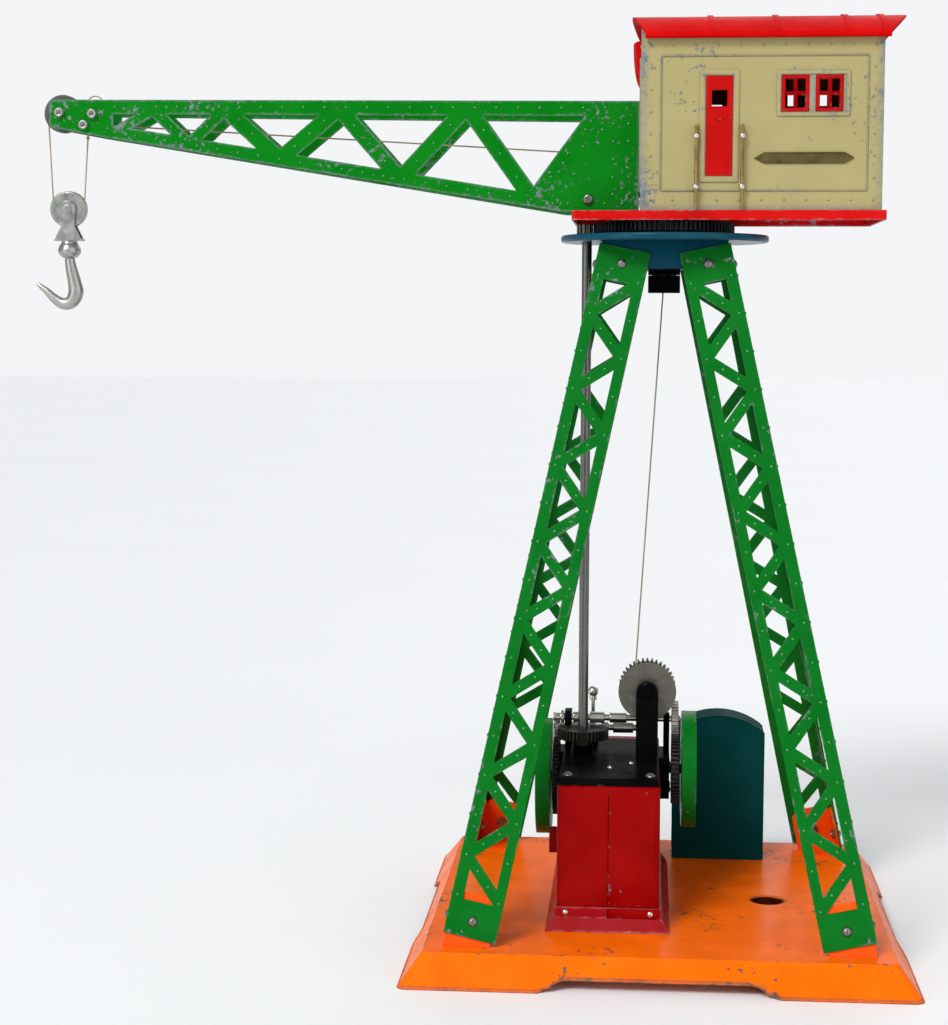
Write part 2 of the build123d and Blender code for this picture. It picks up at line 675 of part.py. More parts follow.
def tip_pins():
    """Riveted cross pins with pressed-on spacers: for the sheave, the guide roller and the cord's end."""
    pins = []
    for (x, z), free in zip(TIP_PINS, (2.6, 2.2, 0.0)):
        half = boom_half_at(x)
        outside = half + SHEET + 0.12
        pin = [rod_y(TIP_PIN_R, (-outside - 0.2, outside + 0.2), x, z)]
        for side in (-1, 1):
            pin.append(rod_y(TIP_RIVET_R, sorted((side * outside, side * (outside + 0.9))), x, z))
            if free:
                pin.append(rod_y(2.4, sorted((side * free, side * (half - 0.15))), x, z))
        pins.append(joined(pin))
    return pins


# ---- pulleys ----
def pulley(at, flange_r, cord_r, half_width, bore_r):
    """A grooved pulley about an axis along Y."""
    groove = min(half_width - 0.4, flange_r - cord_r)
    profile = (
        (bore_r, -half_width), (flange_r, -half_width), (flange_r, -groove),
        (cord_r, -CORD_R * 0.5), (cord_r, CORD_R * 0.5), (flange_r, groove),
        (flange_r, half_width), (bore_r, half_width),
    )
    wheel = revolve(Plane.XY * outline(profile), Axis.Y)
    return Pos(at[0], 0, at[1]) * wheel


def tip_sheave():
    return pulley(TIP_PINS[0], TIP_SHEAVE_R, TIP_SHEAVE_CORD_R - CORD_R - 0.2, 2.3, TIP_PIN_R + FIT)


def guide_roller():
    return pulley(TIP_PINS[1], GUIDE_R, GUIDE_CORD_R - 0.6, 1.9, TIP_PIN_R + FIT)


def cab_pulley():
    return pulley(CAB_PULLEY_AT, CAB_PULLEY_CORD_R + 1.2, CAB_PULLEY_CORD_R - CORD_R - 0.1, 1.8, 1.2 + FIT)


def pulley_bracket():
    """The forked bracket on the floor plate, with the riveted pin of the pulley over the spindle."""
    x, z = CAB_PULLEY_AT
    parts = [rod_y(1.2, (-4.2, 4.2), x, z)]
    for side in (-1, 1):
        y = (side * 2.2, side * 3.4)
        parts.append(block((x - 3, x + 3), y, (FLOOR_Z[1] + TOUCH, z + 3)))
        parts.append(block((x - 3, x + 3), (side * 2.2, side * 12.0), (FLOOR_Z[1] + TOUCH, FLOOR_Z[1] + 1.2)))
    return joined(parts) - rod_z(SPINDLE_R + 0.1, (370, FLOOR_Z[1] + 3.4))


# ---- hook block ----
def block_yoke():
    x, z = BLOCK_AT
    side = (
        (x - 4.4, z), (x - 3.6, z - 9.0), (x - 7.5, z - 16.8),
        (x + 7.5, z - 16.8), (x + 3.6, z - 9.0), (x + 4.4, z),
    )
    cheek = joined([outline(side), Pos(x, z) * Circle(4.4)])
    cheeks = [prism_y(cheek, (-3.5, -2.5)), prism_y(cheek, (2.5, 3.5))]
    foot = block((x - 7.5, x + 7.5), (-3.5, 3.5), (z - 16.8, z - 15.8))
    pin = [rod_y(1.4, (-3.6, 3.6), x, z), rod_y(2.2, (-4.2, -3.4), x, z), rod_y(2.2, (3.4, 4.2), x, z)]
    return joined([*cheeks, foot, *pin]) - rod_z(1.6 + FIT, (z - 20, z - 12), x)


def block_sheave():
    return pulley(BLOCK_AT, BLOCK_SHEAVE_R, BLOCK_CORD_R - CORD_R - 0.1, 2.1, 1.4 + FIT)


def hook():
    """The forged hook with its ball, and the riveted neck on which it swivels in the block."""
    x = BLOCK_AT[0]
    neck_top = BLOCK_AT[1] - 14.6
    ball = Pos(x, 0, HOOK_BALL_Z) * scale(Sphere(1), by=(6.1, 6.1, 3.9))
    neck = rod_z(1.6, (HOOK_BALL_Z, neck_top), x)
    rivet = rod_z(2.3, (BLOCK_AT[1] - 15.5, neck_top), x)
    line = Plane.XZ * FilletPolyline(
        (x, 357.4), (x + 2.2, 344.0), (x + 4.6, 331.4), (x - 5.2, 330.2), (x - 13.6, 338.4),
        radius=(22.0, 5.2, 9.0),
    )
    shank = sweep(Plane(origin=line @ 0, z_dir=line % 0) * Circle(2.8), path=line)
    point = Plane(origin=line @ 1, z_dir=line % 1) * Pos(0, 0, 3.4) * Cone(2.8, 0.7, 6.8)
    return joined([ball, neck, rivet, shank, point])


# ---- hoist and slewing drives ----
def slew_shaft():
    """The long upright shaft, with the pinion cut on its upper end."""
    face = involute_gear(SLEW_PINION_TEETH, GEAR_MODULE, phase=180.0 / SLEW_PINION_TEETH)
    pinion = gear_z(face, PINION_Z, SLEW_SHAFT_X)
    return joined([rod_z(SLEW_SHAFT_R, (FRAME_TOP_Z + 0.2, PINION_Z[1]), SLEW_SHAFT_X), pinion])


def slew_wheel():
    face = involute_gear(SLEW_WHEEL_TEETH, SLEW_WHEEL_MODULE, stub=1.0)
    gear = gear_z(face, SLEW_WHEEL_Z, SLEW_SHAFT_X)
    hub = rod_z(5.0, (FRAME_TOP_Z + 3.3, SLEW_WHEEL_Z[0] + 1), SLEW_SHAFT_X)
    return joined([gear, hub]) - rod_z(SLEW_SHAFT_R + TOUCH, (90, 110), SLEW_SHAFT_X)


def hoist_drum():
    """The cord drum between a plain flange and its worm wheel, pressed on one axle."""
    front = rod_y(DRUM_FLANGE_R, (DRUM_Y[0], DRUM_Y[0] + 1.0), DRUM_X, DRUM_Z)
    core = rod_y(DRUM_CORE_R, DRUM_Y, DRUM_X, DRUM_Z)
    back = rod_y(DRUM_FLANGE_R - 2.6, (DRUM_Y[1] - 1.0, DRUM_Y[1] + 0.5), DRUM_X, DRUM_Z)
    face = involute_gear(DRUM_GEAR_TEETH, DRUM_GEAR_MODULE, stub=1.0)
    gear = gear_y(face, (DRUM_Y[1], DRUM_Y[1] + 4.6), DRUM_X, DRUM_Z)
    axle = rod_y(2.0, (-15.6, 18.4), DRUM_X, DRUM_Z)
    return joined([front, core, back, gear, axle])


def drum_cord():
    """The turns of cord wound on the drum."""
    turns = rod_y(DRUM_CORD_R, (DRUM_Y[0] + 1.0 + TOUCH, DRUM_Y[1] - 1.0 - TOUCH), DRUM_X, DRUM_Z)
    turns = fillet(turns.edges().filter_by(GeomType.CIRCLE), 0.6)
    return turns - rod_y(DRUM_CORE_R + TOUCH, (-20, 20), DRUM_X, DRUM_Z)


def drive_shaft(x, y, z, worm_x, tip_r, pitch, pinion_x, pinion_teeth, sleeves):
    """A cross shaft with its worm, the pinion that its hand wheel turns, and its coupling sleeves."""
    face = involute_gear(pinion_teeth, WHEEL_MODULE, phase=wheel_gear_phase() + 180 + 180 / pinion_teeth)
    parts = [rod_x(DRIVE_SHAFT_R, x, y, z), worm(worm_x, y, z, 12.5, tip_r, pitch)]
    parts.append(gear_x(face, pinion_x, y, z))
    parts += [rod_x(r, span, y, z) for span, r in sleeves]
    return joined(parts)


def hoist_shaft():
    tip_r = DRUM_Z - HOIST_SHAFT_Z - DRUM_GEAR_MODULE * (DRUM_GEAR_TEETH / 2 + 1) - WORM_CLEAR
    sleeves = (((-52.8, -51.2), 3.6), ((-46.0, -42.6), 2.4), ((-37.0, -29.6), 2.7), ((-26.4, -18.0), 2.4))
    return drive_shaft((-57.0, RIGHT_GEAR_X[1] + 1.0), HOIST_SHAFT_Y, HOIST_SHAFT_Z, DRUM_X, tip_r,
                       pi * DRUM_GEAR_MODULE, RIGHT_GEAR_X, RIGHT_TEETH[1], sleeves)


def slew_drive_shaft():
    tip_r = SLEW_DRIVE_Y - SLEW_WHEEL_MODULE * (SLEW_WHEEL_TEETH / 2 + 1) - WORM_CLEAR
    sleeves = (((-31.0, -27.4), 2.6), ((-24.6, -14.0), 2.6))
    return drive_shaft((LEFT_GEAR_X[0] - 0.4, -2.4), SLEW_DRIVE_Y, SLEW_DRIVE_Z, SLEW_SHAFT_X, tip_r,
                       pi * SLEW_WHEEL_MODULE, LEFT_GEAR_X, LEFT_TEETH[1], sleeves)


def wheel_gear_phase():
    """Direction from a hand wheel's axle to its pinion, in the plane of Y and Z."""
    return degrees(atan2(WHEEL_DROP_Z, WHEEL_DROP_Y))


def wheel_gear(x, axle, teeth):
    face = involute_gear(teeth, WHEEL_MODULE, phase=wheel_gear_phase())
    return gear_x(face, x, *axle) - rod_x(2.5 + TOUCH, (x[0] - 5, x[1] + 5), *axle)


def hand_wheel(inner_x, side, axle, axle_x):
    """A pressed wheel with a rolled rim, on its axle; side is +1 where the wheel lies towards +X."""
    r, width, web = HAND_WHEEL_R, HAND_WHEEL_WIDTH, 1.0
    profile = ((0, 0), (0, r), (width, r), (width, r - 1.2), (web, r - 1.2), (web, 0))
    rim = turned_x([(side * a, b) for a, b in profile], inner_x, *axle)
    hub = rod_x(5.0, sorted((inner_x, inner_x + side * 4.5)), *axle)
    wheel = joined([rim, hub, rod_x(2.5, axle_x, *axle)])
    holes = []
    for turn in range(5):
        angle = 2 * pi * turn / 5 + pi / 2
        y, z = axle[0] + 17.5 * cos(angle), axle[1] + 17.5 * sin(angle)
        holes.append(rod_x(6.0, sorted((inner_x - side, inner_x + side * 3)), y, z))
    return wheel - holes


def hand_wheel_right():
    return hand_wheel(RIGHT_WHEEL_X, 1, RIGHT_AXLE, (-3.6, RIGHT_WHEEL_X + 5.5))


def hand_wheel_left():
    return hand_wheel(LEFT_WHEEL_X, -1, LEFT_AXLE, (LEFT_WHEEL_X - 5.5, -47.4))


# ---- motor unit ----
def motor_housing():
    x = (MOTOR_X - HOUSING_HALF_X, MOTOR_X + HOUSING_HALF_X)
    z = (DECK_Z + TOUCH, HOUSING_TOP_Z)
    body = block(x, HOUSING_Y, z)
    body = fillet(body.edges().filter_by(Axis.Z), 2.0)
    body = fillet(body.edges().group_by(Axis.Z)[-1], 1.5)
    inner_x = (x[0] + SHEET, x[1] - SHEET)
    inner_y = (HOUSING_Y[0] + SHEET, HOUSING_Y[1] - SHEET)
    body -= block(inner_x, inner_y, (z[0] - 1, z[1] - SHEET))
    body -= block((x[0] + 7, x[1] - 7), (-58, 50), (z[1] - 3, z[1] + 1))
    for axle, span in ((RIGHT_AXLE, (x[1] - 4, x[1] + 2)), (LEFT_AXLE, (x[0] - 2, x[0] + 4))):
        body -= rod_x(2.5 + GAP, span, *axle)
    return body - frame_screw_holes()


def housing_skirt():
    """The flared strip round the housing's foot."""
    gap = TOUCH
    x = (MOTOR_X - HOUSING_HALF_X - gap, MOTOR_X + HOUSING_HALF_X + gap)
    y = (HOUSING_Y[0] - gap, HOUSING_Y[1] + gap)

    def ring(grow, z):
        wide, deep = x[1] - x[0] + 2 * grow, y[1] - y[0] + 2 * grow
        return Pos(MOTOR_X, sum(HOUSING_Y) / 2, z) * Rectangle(wide, deep)

    flare = loft([ring(SKIRT_OUT, DECK_Z + TOUCH), ring(1.6, SKIRT_Z)], ruled=True)
    band = extrude(ring(1.0, SKIRT_Z - 0.5), amount=6.0)
    return joined([flare, band]) - block(x, y, (DECK_Z - 1, 40))


def frame_screw_planes():
    spots = [(MOTOR_X + dx, y) for dx in (-21, 21) for y in (-61.0, 26.0)]
    return [Plane(origin=(x, y, FRAME_TOP_Z + TOUCH), z_dir=(0, 0, 1)) for x, y in spots]


def frame_screw_holes():
    return [plane * Cylinder(SCREW_R + TOUCH, 16) for plane in frame_screw_planes()]


def drum_standards():
    """The tall posts before and behind the cord drum."""
    parts = []
    for y, half in (((-15.4, -9.4), 5.8), ((13.0, 18.2), 5.0)):
        parts.append(block((DRUM_X - half, DRUM_X + half), y, (FRAME_TOP_Z - 1, DRUM_Z)))
        parts.append(rod_y(half, y, DRUM_X, DRUM_Z))
    return parts


def shaft_posts():
    """The bearings of the two cross shafts and of the slewing shaft's foot."""
    hy, hz, sy, sz = HOIST_SHAFT_Y, HOIST_SHAFT_Z, SLEW_DRIVE_Y, SLEW_DRIVE_Z
    right, left = (2.4, 5.6), (-50.8, -47.2)
    return [
        block(right, (hy - 3.4, hy + 3.4), (FRAME_TOP_Z - 1, hz)),
        rod_x(3.4, right, hy, hz),
        block(left, (sy - 4.0, sy + 6.0), (FRAME_TOP_Z - 1, hz + 2.0)),
        block(left, (hy, sy), (SLEW_WHEEL_Z[1] + 0.6, hz + 3.4)),
        block(left, (hy - 3.4, hy + 1.0), (SLEW_WHEEL_Z[1] + 0.6, hz)),
        rod_x(3.4, left, hy, hz),
        block((-6.0, -2.8), (sy - 3.4, sy + 3.4), (FRAME_TOP_Z - 1, sz)),
        rod_x(3.4, (-6.0, -2.8), sy, sz),
        rod_z(5.4, (FRAME_TOP_Z - 1, FRAME_TOP_Z + 3.0), SLEW_SHAFT_X),
    ]


def wheel_ears():
    """The brackets down the housing's sides that carry the hand wheels' axles."""
    right, left = MOTOR_X + HOUSING_HALF_X + TOUCH, MOTOR_X - HOUSING_HALF_X - TOUCH
    plate = (HOUSING_TOP_Z + TOUCH, FRAME_TOP_Z)
    return [
        block((-0.6, 5.6), (-15.0, 15.0), plate),
        block((right, 5.6), (-11.0, 8.0), (70.0, FRAME_TOP_Z)),
        block((-53.1, -49.0), (-4.0, 16.0), plate),
        block((-53.1, left), (1.0, 14.0), (66.0, FRAME_TOP_Z)),
    ]


def lever_ears():
    x, y, z = CLUTCH_AT
    cheeks = ((y - 4.2, y - 1.9), (y + 1.9, y + 4.2))
    ears = [block((x - 3, x + 3), span, (FRAME_TOP_Z - 1, z + 3)) for span in cheeks]
    return [*ears, rod_y(CLUTCH_PIN_R, (y - 4.2, y + 4.2), x, z)]


def gear_frame():
    """The cast frame on the housing that carries the shafts, the drum and the hand wheels."""
    x = (MOTOR_X - HOUSING_HALF_X + 0.5, MOTOR_X + HOUSING_HALF_X - 0.5)
    plate = block(x, (HOUSING_Y[0] + 3, 34.0), (HOUSING_TOP_Z + TOUCH, FRAME_TOP_Z))
    frame = joined([plate, *drum_standards(), *shaft_posts(), *wheel_ears(), *lever_ears()])
    frame -= rod_y(2.0 + FIT, (-30, 20), DRUM_X, DRUM_Z)
    frame -= rod_x(DRIVE_SHAFT_R + FIT, (-70, 20), HOIST_SHAFT_Y, HOIST_SHAFT_Z)
    frame -= rod_x(DRIVE_SHAFT_R + FIT, (-70, 10), SLEW_DRIVE_Y, SLEW_DRIVE_Z)
    frame -= rod_x(2.5 + FIT, (-5, 10), *RIGHT_AXLE)
    frame -= rod_x(2.5 + FIT, (-60, -45), *LEFT_AXLE)
    frame -= rod_z(SLEW_SHAFT_R + FIT, (FRAME_TOP_Z, FRAME_TOP_Z + 5), SLEW_SHAFT_X)
    return frame - frame_screw_holes()


def clutch_lever():
    """The hand lever with its knob, which slides the clutch, pivoted on the gear frame."""
    x, y, z = CLUTCH_AT
    parts = [rod_y(3.0, (y - 1.5, y + 1.5), x, z), rod_z(1.1, (z, CLUTCH_KNOB_Z), x, y)]
    parts += [Pos(x, y, CLUTCH_KNOB_Z) * Sphere(2.9), rod_z(2.0, (CLUTCH_KNOB_Z - 4.6, CLUTCH_KNOB_Z), x, y)]
    return joined(parts) - rod_y(CLUTCH_PIN_R + FIT, (y - 5, y + 5), x, z)


def field_magnet():
    """The motor's laminated field, with its two coils, inside the housing."""
    yoke = block((MOTOR_X - 22, MOTOR_X + 22), (-30, 8), (MOTOR_AXIS_Z - 22, MOTOR_AXIS_Z + 22))
    bore = rod_y(14.6, (-31, 9), MOTOR_X, MOTOR_AXIS_Z)
    foot = block((MOTOR_X - 12, MOTOR_X + 12), (-30, 8), (DECK_Z + TOUCH, MOTOR_AXIS_Z - 21))
    return joined([yoke, foot]) - bore


def armature():
    """The motor's rotor: slotted core and commutator on one shaft."""
    core = rod_y(14.0, (-28, 6), MOTOR_X, MOTOR_AXIS_Z)
    slots = []
    for i in range(9):
        angle = 2 * pi * i / 9
        x, z = MOTOR_X + 12.5 * cos(angle), MOTOR_AXIS_Z + 12.5 * sin(angle)
        slots.append(rod_y(1.8, (-29, 7), x, z))
    shaft = rod_y(2.0, (-57.0, 40.0), MOTOR_X, MOTOR_AXIS_Z)
    return joined([core - slots, shaft, rod_y(7.0, (-46, -34), MOTOR_X, MOTOR_AXIS_Z)])


def motor_end_plates():
    """The two bearing plates; the front one carries a brush on each side of the commutator."""
    z = MOTOR_AXIS_Z
    front = [block((MOTOR_X - 20, MOTOR_X + 20), (-54, -50), (DECK_Z + TOUCH, z + 14))]
    front += [block((MOTOR_X + s * 7.3, MOTOR_X + s * 13), (-51, -37), (z - 3, z + 3)) for s in (-1, 1)]
    rear = block((MOTOR_X - 16, MOTOR_X + 16), (34, 38), (DECK_Z + TOUCH, z + 10))
    bore = rod_y(2.0 + FIT, (-60, 50), MOTOR_X, z)
    return [joined(front) - bore, rear - bore]


def terminal_block():
    x = (MOTOR_X - HOUSING_HALF_X - 5.4, MOTOR_X - HOUSING_HALF_X - TOUCH)
    return block(x, (-36.0, -24.0), (46.0, 57.0))


# ---- control box ----
def box_face(grow):
    """The control box's arched outline in X and Z, drawn in by grow."""
    x0, x1 = BOX_X[0] + grow, BOX_X[1] - grow
    left, right = (x0, BOX_SHOULDER_Z - grow), (x1, BOX_SHOULDER_Z - grow)
    top = ((x0 + x1) / 2, BOX_PEAK_Z - grow)
    base = DECK_Z + TOUCH - grow
    return make_face([ThreePointArc(left, top, right), Polyline(right, (x1, base), (x0, base), left)])


def control_box():
    outer = prism_y(box_face(0.0), BOX_Y)
    return outer - prism_y(box_face(SHEET), (BOX_Y[0] + SHEET, BOX_Y[1] - SHEET))


def control_resistor():
    """The wound speed resistor inside the control box, on its ceramic core."""
    x, y, z = sum(BOX_X) / 2, sum(BOX_Y) / 2, (DECK_Z + TOUCH, 74.0)
    core = rod_z(7.0, (z[0], z[1]), x, y)
    return joined([core, rod_z(9.0, (z[0], z[0] + 3), x, y), rod_z(9.0, (z[1] - 3, z[1]), x, y)])


# ---- cord ----
def cord(path):
    return sweep(Plane(origin=path @ 0, z_dir=path % 0) * Circle(CORD_R), path=path)


def run_of_cord(name, points, radii):
    """A tube along points in X and Z, with an arc of the given radius at each corner."""
    print(name, "bend radii, mm:", radii)
    return cord(Plane.XZ * FilletPolyline(*points, radius=radii))


def cord_riser():
    """From the drum up to the spindle, and through it to the pulley in the cab."""
    start = (DRUM_X - DRUM_CORD_R - CORD_R - 0.2, DRUM_Z + 1.0)
    end = (0.0, CAB_PULLEY_AT[1] - GAP)
    return run_of_cord("cord_riser", [start, (0.0, 346.0), end], [300.0])


def cord_boom():
    """Over the cab pulley, under the guide roller and over the tip sheave."""
    x = TIP_PINS[0][0] - TIP_SHEAVE_CORD_R
    points = [(0.0, CAB_PULLEY_AT[1]), *CORD_CORNERS, (x, TIP_PINS[0][1] - 0.4)]
    return run_of_cord("cord_boom", points, [CAB_PULLEY_CORD_R - 0.1, GUIDE_CORD_R, TIP_SHEAVE_CORD_R - 0.1])


def cord_fall_sheave():
    x = TIP_PINS[0][0] - TIP_SHEAVE_CORD_R
    return cord(Plane.XZ * Line((x, TIP_PINS[0][1] - 0.7), (BLOCK_AT[0] - BLOCK_CORD_R, BLOCK_AT[1] + GAP)))


def cord_fall_anchor():
    """The fall that is tied to the third pin of the tip."""
    x, z = TIP_PINS[2]
    return cord(Plane.XZ * Line((x, z - TIP_PIN_R - 0.3), (BLOCK_AT[0] + BLOCK_CORD_R, BLOCK_AT[1] + GAP)))


def cord_bight():
    """The half turn of cord under the block's sheave."""
    return cord(Plane.XZ * CenterArc(BLOCK_AT, BLOCK_CORD_R, 180, 180))


# ---- the nodes ----
def write(name, shapes):
    solids = shapes if isinstance(shapes, list) else [shapes]
    flat = [solid for shape in solids for solid in shape.solids()]
    item = flat[0] if len(flat) == 1 else Compound(children=flat)
    item.label = name
    export_step(item, f"parts/{name}.step")


def legs():
    front_right = leg()
    front_left = mirror(front_right, about=Plane.YZ)
    return {
        "leg_front_right": front_right,
        "leg_front_left": front_left,
        "leg_rear_right": mirror(front_right, about=Plane.XZ),
        "leg_rear_left": mirror(front_left, about=Plane.XZ),
    }


def boom_plates():
    front = boom_plate()
    return {"boom_plate_front": front, "boom_plate_rear": mirror(front, about=Plane.XZ)}


def main():
    os.makedirs("parts", exist_ok=True)
    frames = leg_screw_frames()
    screws = all_quarters([round_head_screw(plane) for plane in frames])
    screws += [round_head_screw(plane) for plane in frame_screw_planes()]
    nodes = {
        "base_tray": base_tray(),
        **legs(),
        "foot_brackets": all_quarters([foot_bracket()]),
        "screws": screws,
        "leg_nuts": all_quarters([nut(plane) for plane in frames]),
        "head_plate": head_plate(),
        "head_bracket": head_bracket(),
        "head_bush": head_bush(),
        "ring_gear": ring_gear(),
        "spindle": spindle(),
        "spindle_collar": spindle_collar(),
        "floor_plate": floor_plate(),
        "cab_walls": cab_walls(),
        "cab_roof": cab_roof(),
        "end_hood": end_hood(),
        "doors": doors(),
        "window_frames": window_frames(),
        "handrails": handrails(),
        "rail_posts": rail_posts(),
        "side_plates": side_plates(),
        **boom_plates(),
        "root_bracket": root_bracket(),
        "root_screws": root_screws(),
        "tip_pins": tip_pins(),
        "tip_sheave": tip_sheave(),
        "guide_roller": guide_roller(),
        "cab_pulley": cab_pulley(),
        "pulley_bracket": pulley_bracket(),
        "block_yoke": block_yoke(),
        "block_sheave": block_sheave(),
        "hook": hook(),
        "slew_shaft": slew_shaft(),
        "slew_wheel": slew_wheel(),
        "hoist_drum": hoist_drum(),
        "drum_cord": drum_cord(),
        "hoist_shaft": hoist_shaft(),
        "slew_drive_shaft": slew_drive_shaft(),
        "hand_wheel_right": hand_wheel_right(),
        "wheel_gear_right": wheel_gear(RIGHT_GEAR_X, RIGHT_AXLE, RIGHT_TEETH[0]),
        "hand_wheel_left": hand_wheel_left(),
        "wheel_gear_left": wheel_gear(LEFT_GEAR_X, LEFT_AXLE, LEFT_TEETH[0]),
        "motor_housing": motor_housing(),
        "housing_skirt": housing_skirt(),
        "gear_frame": gear_frame(),
        "clutch_lever": clutch_lever(),
        "field_magnet": field_magnet(),
        "armature": armature(),
        "motor_end_plates": motor_end_plates(),
        "terminal_block": terminal_block(),
        "control_box": control_box(),
        "control_resistor": control_resistor(),
        "cord_riser": cord_riser(),
        "cord_boom": cord_boom(),
        "cord_fall_sheave": cord_fall_sheave(),
        "cord_fall_anchor": cord_fall_anchor(),
        "cord_bight": cord_bight(),
    }
    for name, shape in nodes.items():
        write(name, shape)


main()
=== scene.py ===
from math import atan2, cos, pi, radians, sin

import bmesh
import bpy
from mathutils import Matrix, Vector


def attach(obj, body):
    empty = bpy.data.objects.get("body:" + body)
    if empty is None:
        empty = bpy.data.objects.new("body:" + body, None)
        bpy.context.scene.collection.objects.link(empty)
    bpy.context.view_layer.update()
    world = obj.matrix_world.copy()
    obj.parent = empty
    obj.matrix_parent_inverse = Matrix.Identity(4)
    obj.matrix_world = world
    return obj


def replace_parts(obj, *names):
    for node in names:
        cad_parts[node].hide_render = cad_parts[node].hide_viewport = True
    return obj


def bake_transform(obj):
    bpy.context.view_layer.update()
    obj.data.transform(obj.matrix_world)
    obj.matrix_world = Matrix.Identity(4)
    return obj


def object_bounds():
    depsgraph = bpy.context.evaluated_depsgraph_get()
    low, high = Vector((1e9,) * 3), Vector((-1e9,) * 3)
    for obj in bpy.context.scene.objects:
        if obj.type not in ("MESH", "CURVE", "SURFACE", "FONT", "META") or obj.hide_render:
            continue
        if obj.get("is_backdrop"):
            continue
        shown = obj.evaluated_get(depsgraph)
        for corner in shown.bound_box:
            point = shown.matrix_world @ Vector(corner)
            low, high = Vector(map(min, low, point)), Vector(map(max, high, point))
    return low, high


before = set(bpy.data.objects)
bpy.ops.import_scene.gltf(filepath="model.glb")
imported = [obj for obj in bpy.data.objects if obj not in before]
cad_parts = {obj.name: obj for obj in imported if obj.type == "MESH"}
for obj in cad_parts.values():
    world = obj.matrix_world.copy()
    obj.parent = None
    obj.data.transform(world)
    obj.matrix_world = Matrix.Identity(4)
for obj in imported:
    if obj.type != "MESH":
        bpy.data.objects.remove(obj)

CAD_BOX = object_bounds()
MM = 0.001

# ---- sizes in millimetres, most of them shared with the CAD model ----

BASE_HALF, DECK_HALF, DECK_Z = 127.0, 115.4, 15.65
ARCH_FOOT_HALF, ARCH_TOP_HALF, ARCH_RISE = 58.5, 46.5, 5.4
EDGE_LIFT, EDGE_PROUD, EDGE_R, EDGE_CORNER = 1.15, 0.35, 0.55, 5.0
LEG_FOOT, LEG_TOP = Vector((105.85, -105.85, 22.9)), Vector((33.2, -33.2, 362.9))
LEG_FACE, LEG_OUTER_RAIL, LEG_INNER_RAIL = 26.4, 6.0, 5.2
LEG_BAYS, LEG_FIRST_NODE, LEG_LAST_NODE_SHIFT = 8, 19.6, 3.0
LEG_BRACE_RIVETS = (0.34, 0.66)  # their places along a brace
CAB_X, CAB_HALF = (-13.0, 108.1), 37.5
CAB_RIVETS_X, CAB_RIVETS_Y, CAB_RIVETS_Z = (-7.9, 103.7), (-32.5, 32.5), (384.2, 461.0)
DOOR_X, DOOR_Z, DOOR_WINDOW = (19.6, 33.2), (396.1, 446.0), ((21.9, 30.9), (430.2, 439.5))
LATCH_X, LATCH_Z = (24.2, 28.8), 424.4
SASHES_X, SASH_Z = ((57.2, 71.1), (74.2, 88.1)), (428.05, 446.05)
PLATE_X, PLATE_Z = (44.0, 94.0), (402.2, 407.9)
BOOM_TIP, BOOM_ROOT = (-325.6, 8.6), (-13.6, 19.5)  # x, and half the width over both plates
BOOM_TIP_TOP_Z, BOOM_TOP_FALL = 439.0, 3.5
BOOM_TOP_NODES, BOOM_TOP_NODES_Z = (-269.1, -230.5, -169.8, -102.7, -32.4), 433.2
BOOM_LOW_NODES = (-289.9, -250.0, -201.3, -137.5, -68.0)
BOOM_LOW_LINE = ((-325.6, 424.6), (-299.7, 419.7), (-51.9, 379.2), (-13.6, 379.2))
BOOM_TOP_RAIL, BOOM_LOW_RAIL = 3.6, 3.4  # from the plate's edge to the rail's rivets
BOOM_LONG_BRACES_X = -200.0  # from here to the cab a brace has three rivets, not one
TIP_PINS, TIP_PIN_PROUD = ((-320.0, 432.1), (-302.1, 431.3), (-306.9, 425.6)), 2.0
HOUSING_X, HOUSING_Y = (-51.5, 0.5), (-70.5, 61.5)
HOUSING_LAP_Z, SKIRT_LAP_Z = (27.6, 86.9), (21.9, 27.1)
HOIST_SHAFT, SLEW_SHAFT = (9.5, 109.4), (17.2, 102.6)  # y and z of their axes
DRUM_X, DRUM_Z = -6.5, 127.0
BOX_X, BOX_SHOULDER_Z, BOX_PEAK_Z = (9.0, 60.3), 89.5, 98.8
BOX_SEAMS_Y, BOX_SEAM_FOOT_Z = (74.2, 96.8), 16.4
CORD_R = 0.4
HOOK_X, SHEAVE_Z, HOOK_BALL_Z, HOOK_FLATNESS = -318.1, 381.8, 359.6, 0.82
RIVET_SINK = 0.15
LEG_RIVET, BOOM_RIVET, CAB_RIVET = (0.85, 0.6), (0.8, 0.55), (0.75, 0.5)  # radius and height
HOUSING_RIVET = (1.7, 1.1)

# Profiles of mouldings: distance inwards from the outer edge, and height above the wall.
BEAD = ((0.0, -0.1), (0.15, 0.45), (0.55, 0.72), (1.05, 0.45), (1.2, -0.1))
WINDOW_STEP = ((0.0, -0.1), (0.25, 0.55), (0.7, 0.75), (1.7, 0.75), (2.2, 0.5), (2.4, -0.1))
DOOR_STEP = ((0.0, -0.1), (0.25, 0.55), (0.7, 0.75), (2.4, 0.75), (3.0, 0.4), (3.2, -0.1))
DOOR_EDGE = ((0.0, -0.1), (0.2, 0.25), (0.9, 0.25), (1.2, -0.1))
DOOR_WINDOW_EDGE = ((0.0, -0.1), (0.15, 0.25), (0.5, 0.3), (0.62, -0.1))
SASH_EDGE = ((0.0, -0.1), (0.2, 0.3), (1.2, 0.3), (1.6, -0.1))
# Rectangle, profile and corner radius of each moulding on a side wall.
WALL_MOULDINGS = (
    (((-3.5, 100.9), (388.3, 456.5)), BEAD, 1.4),
    (((16.2, 36.6), (392.7, 449.3)), DOOR_STEP, 1.0),
    (((54.7, 91.7), (425.4, 448.6)), WINDOW_STEP, 1.0),
)
END_BEAD = ((-28.0, 28.0), (388.3, 456.5))

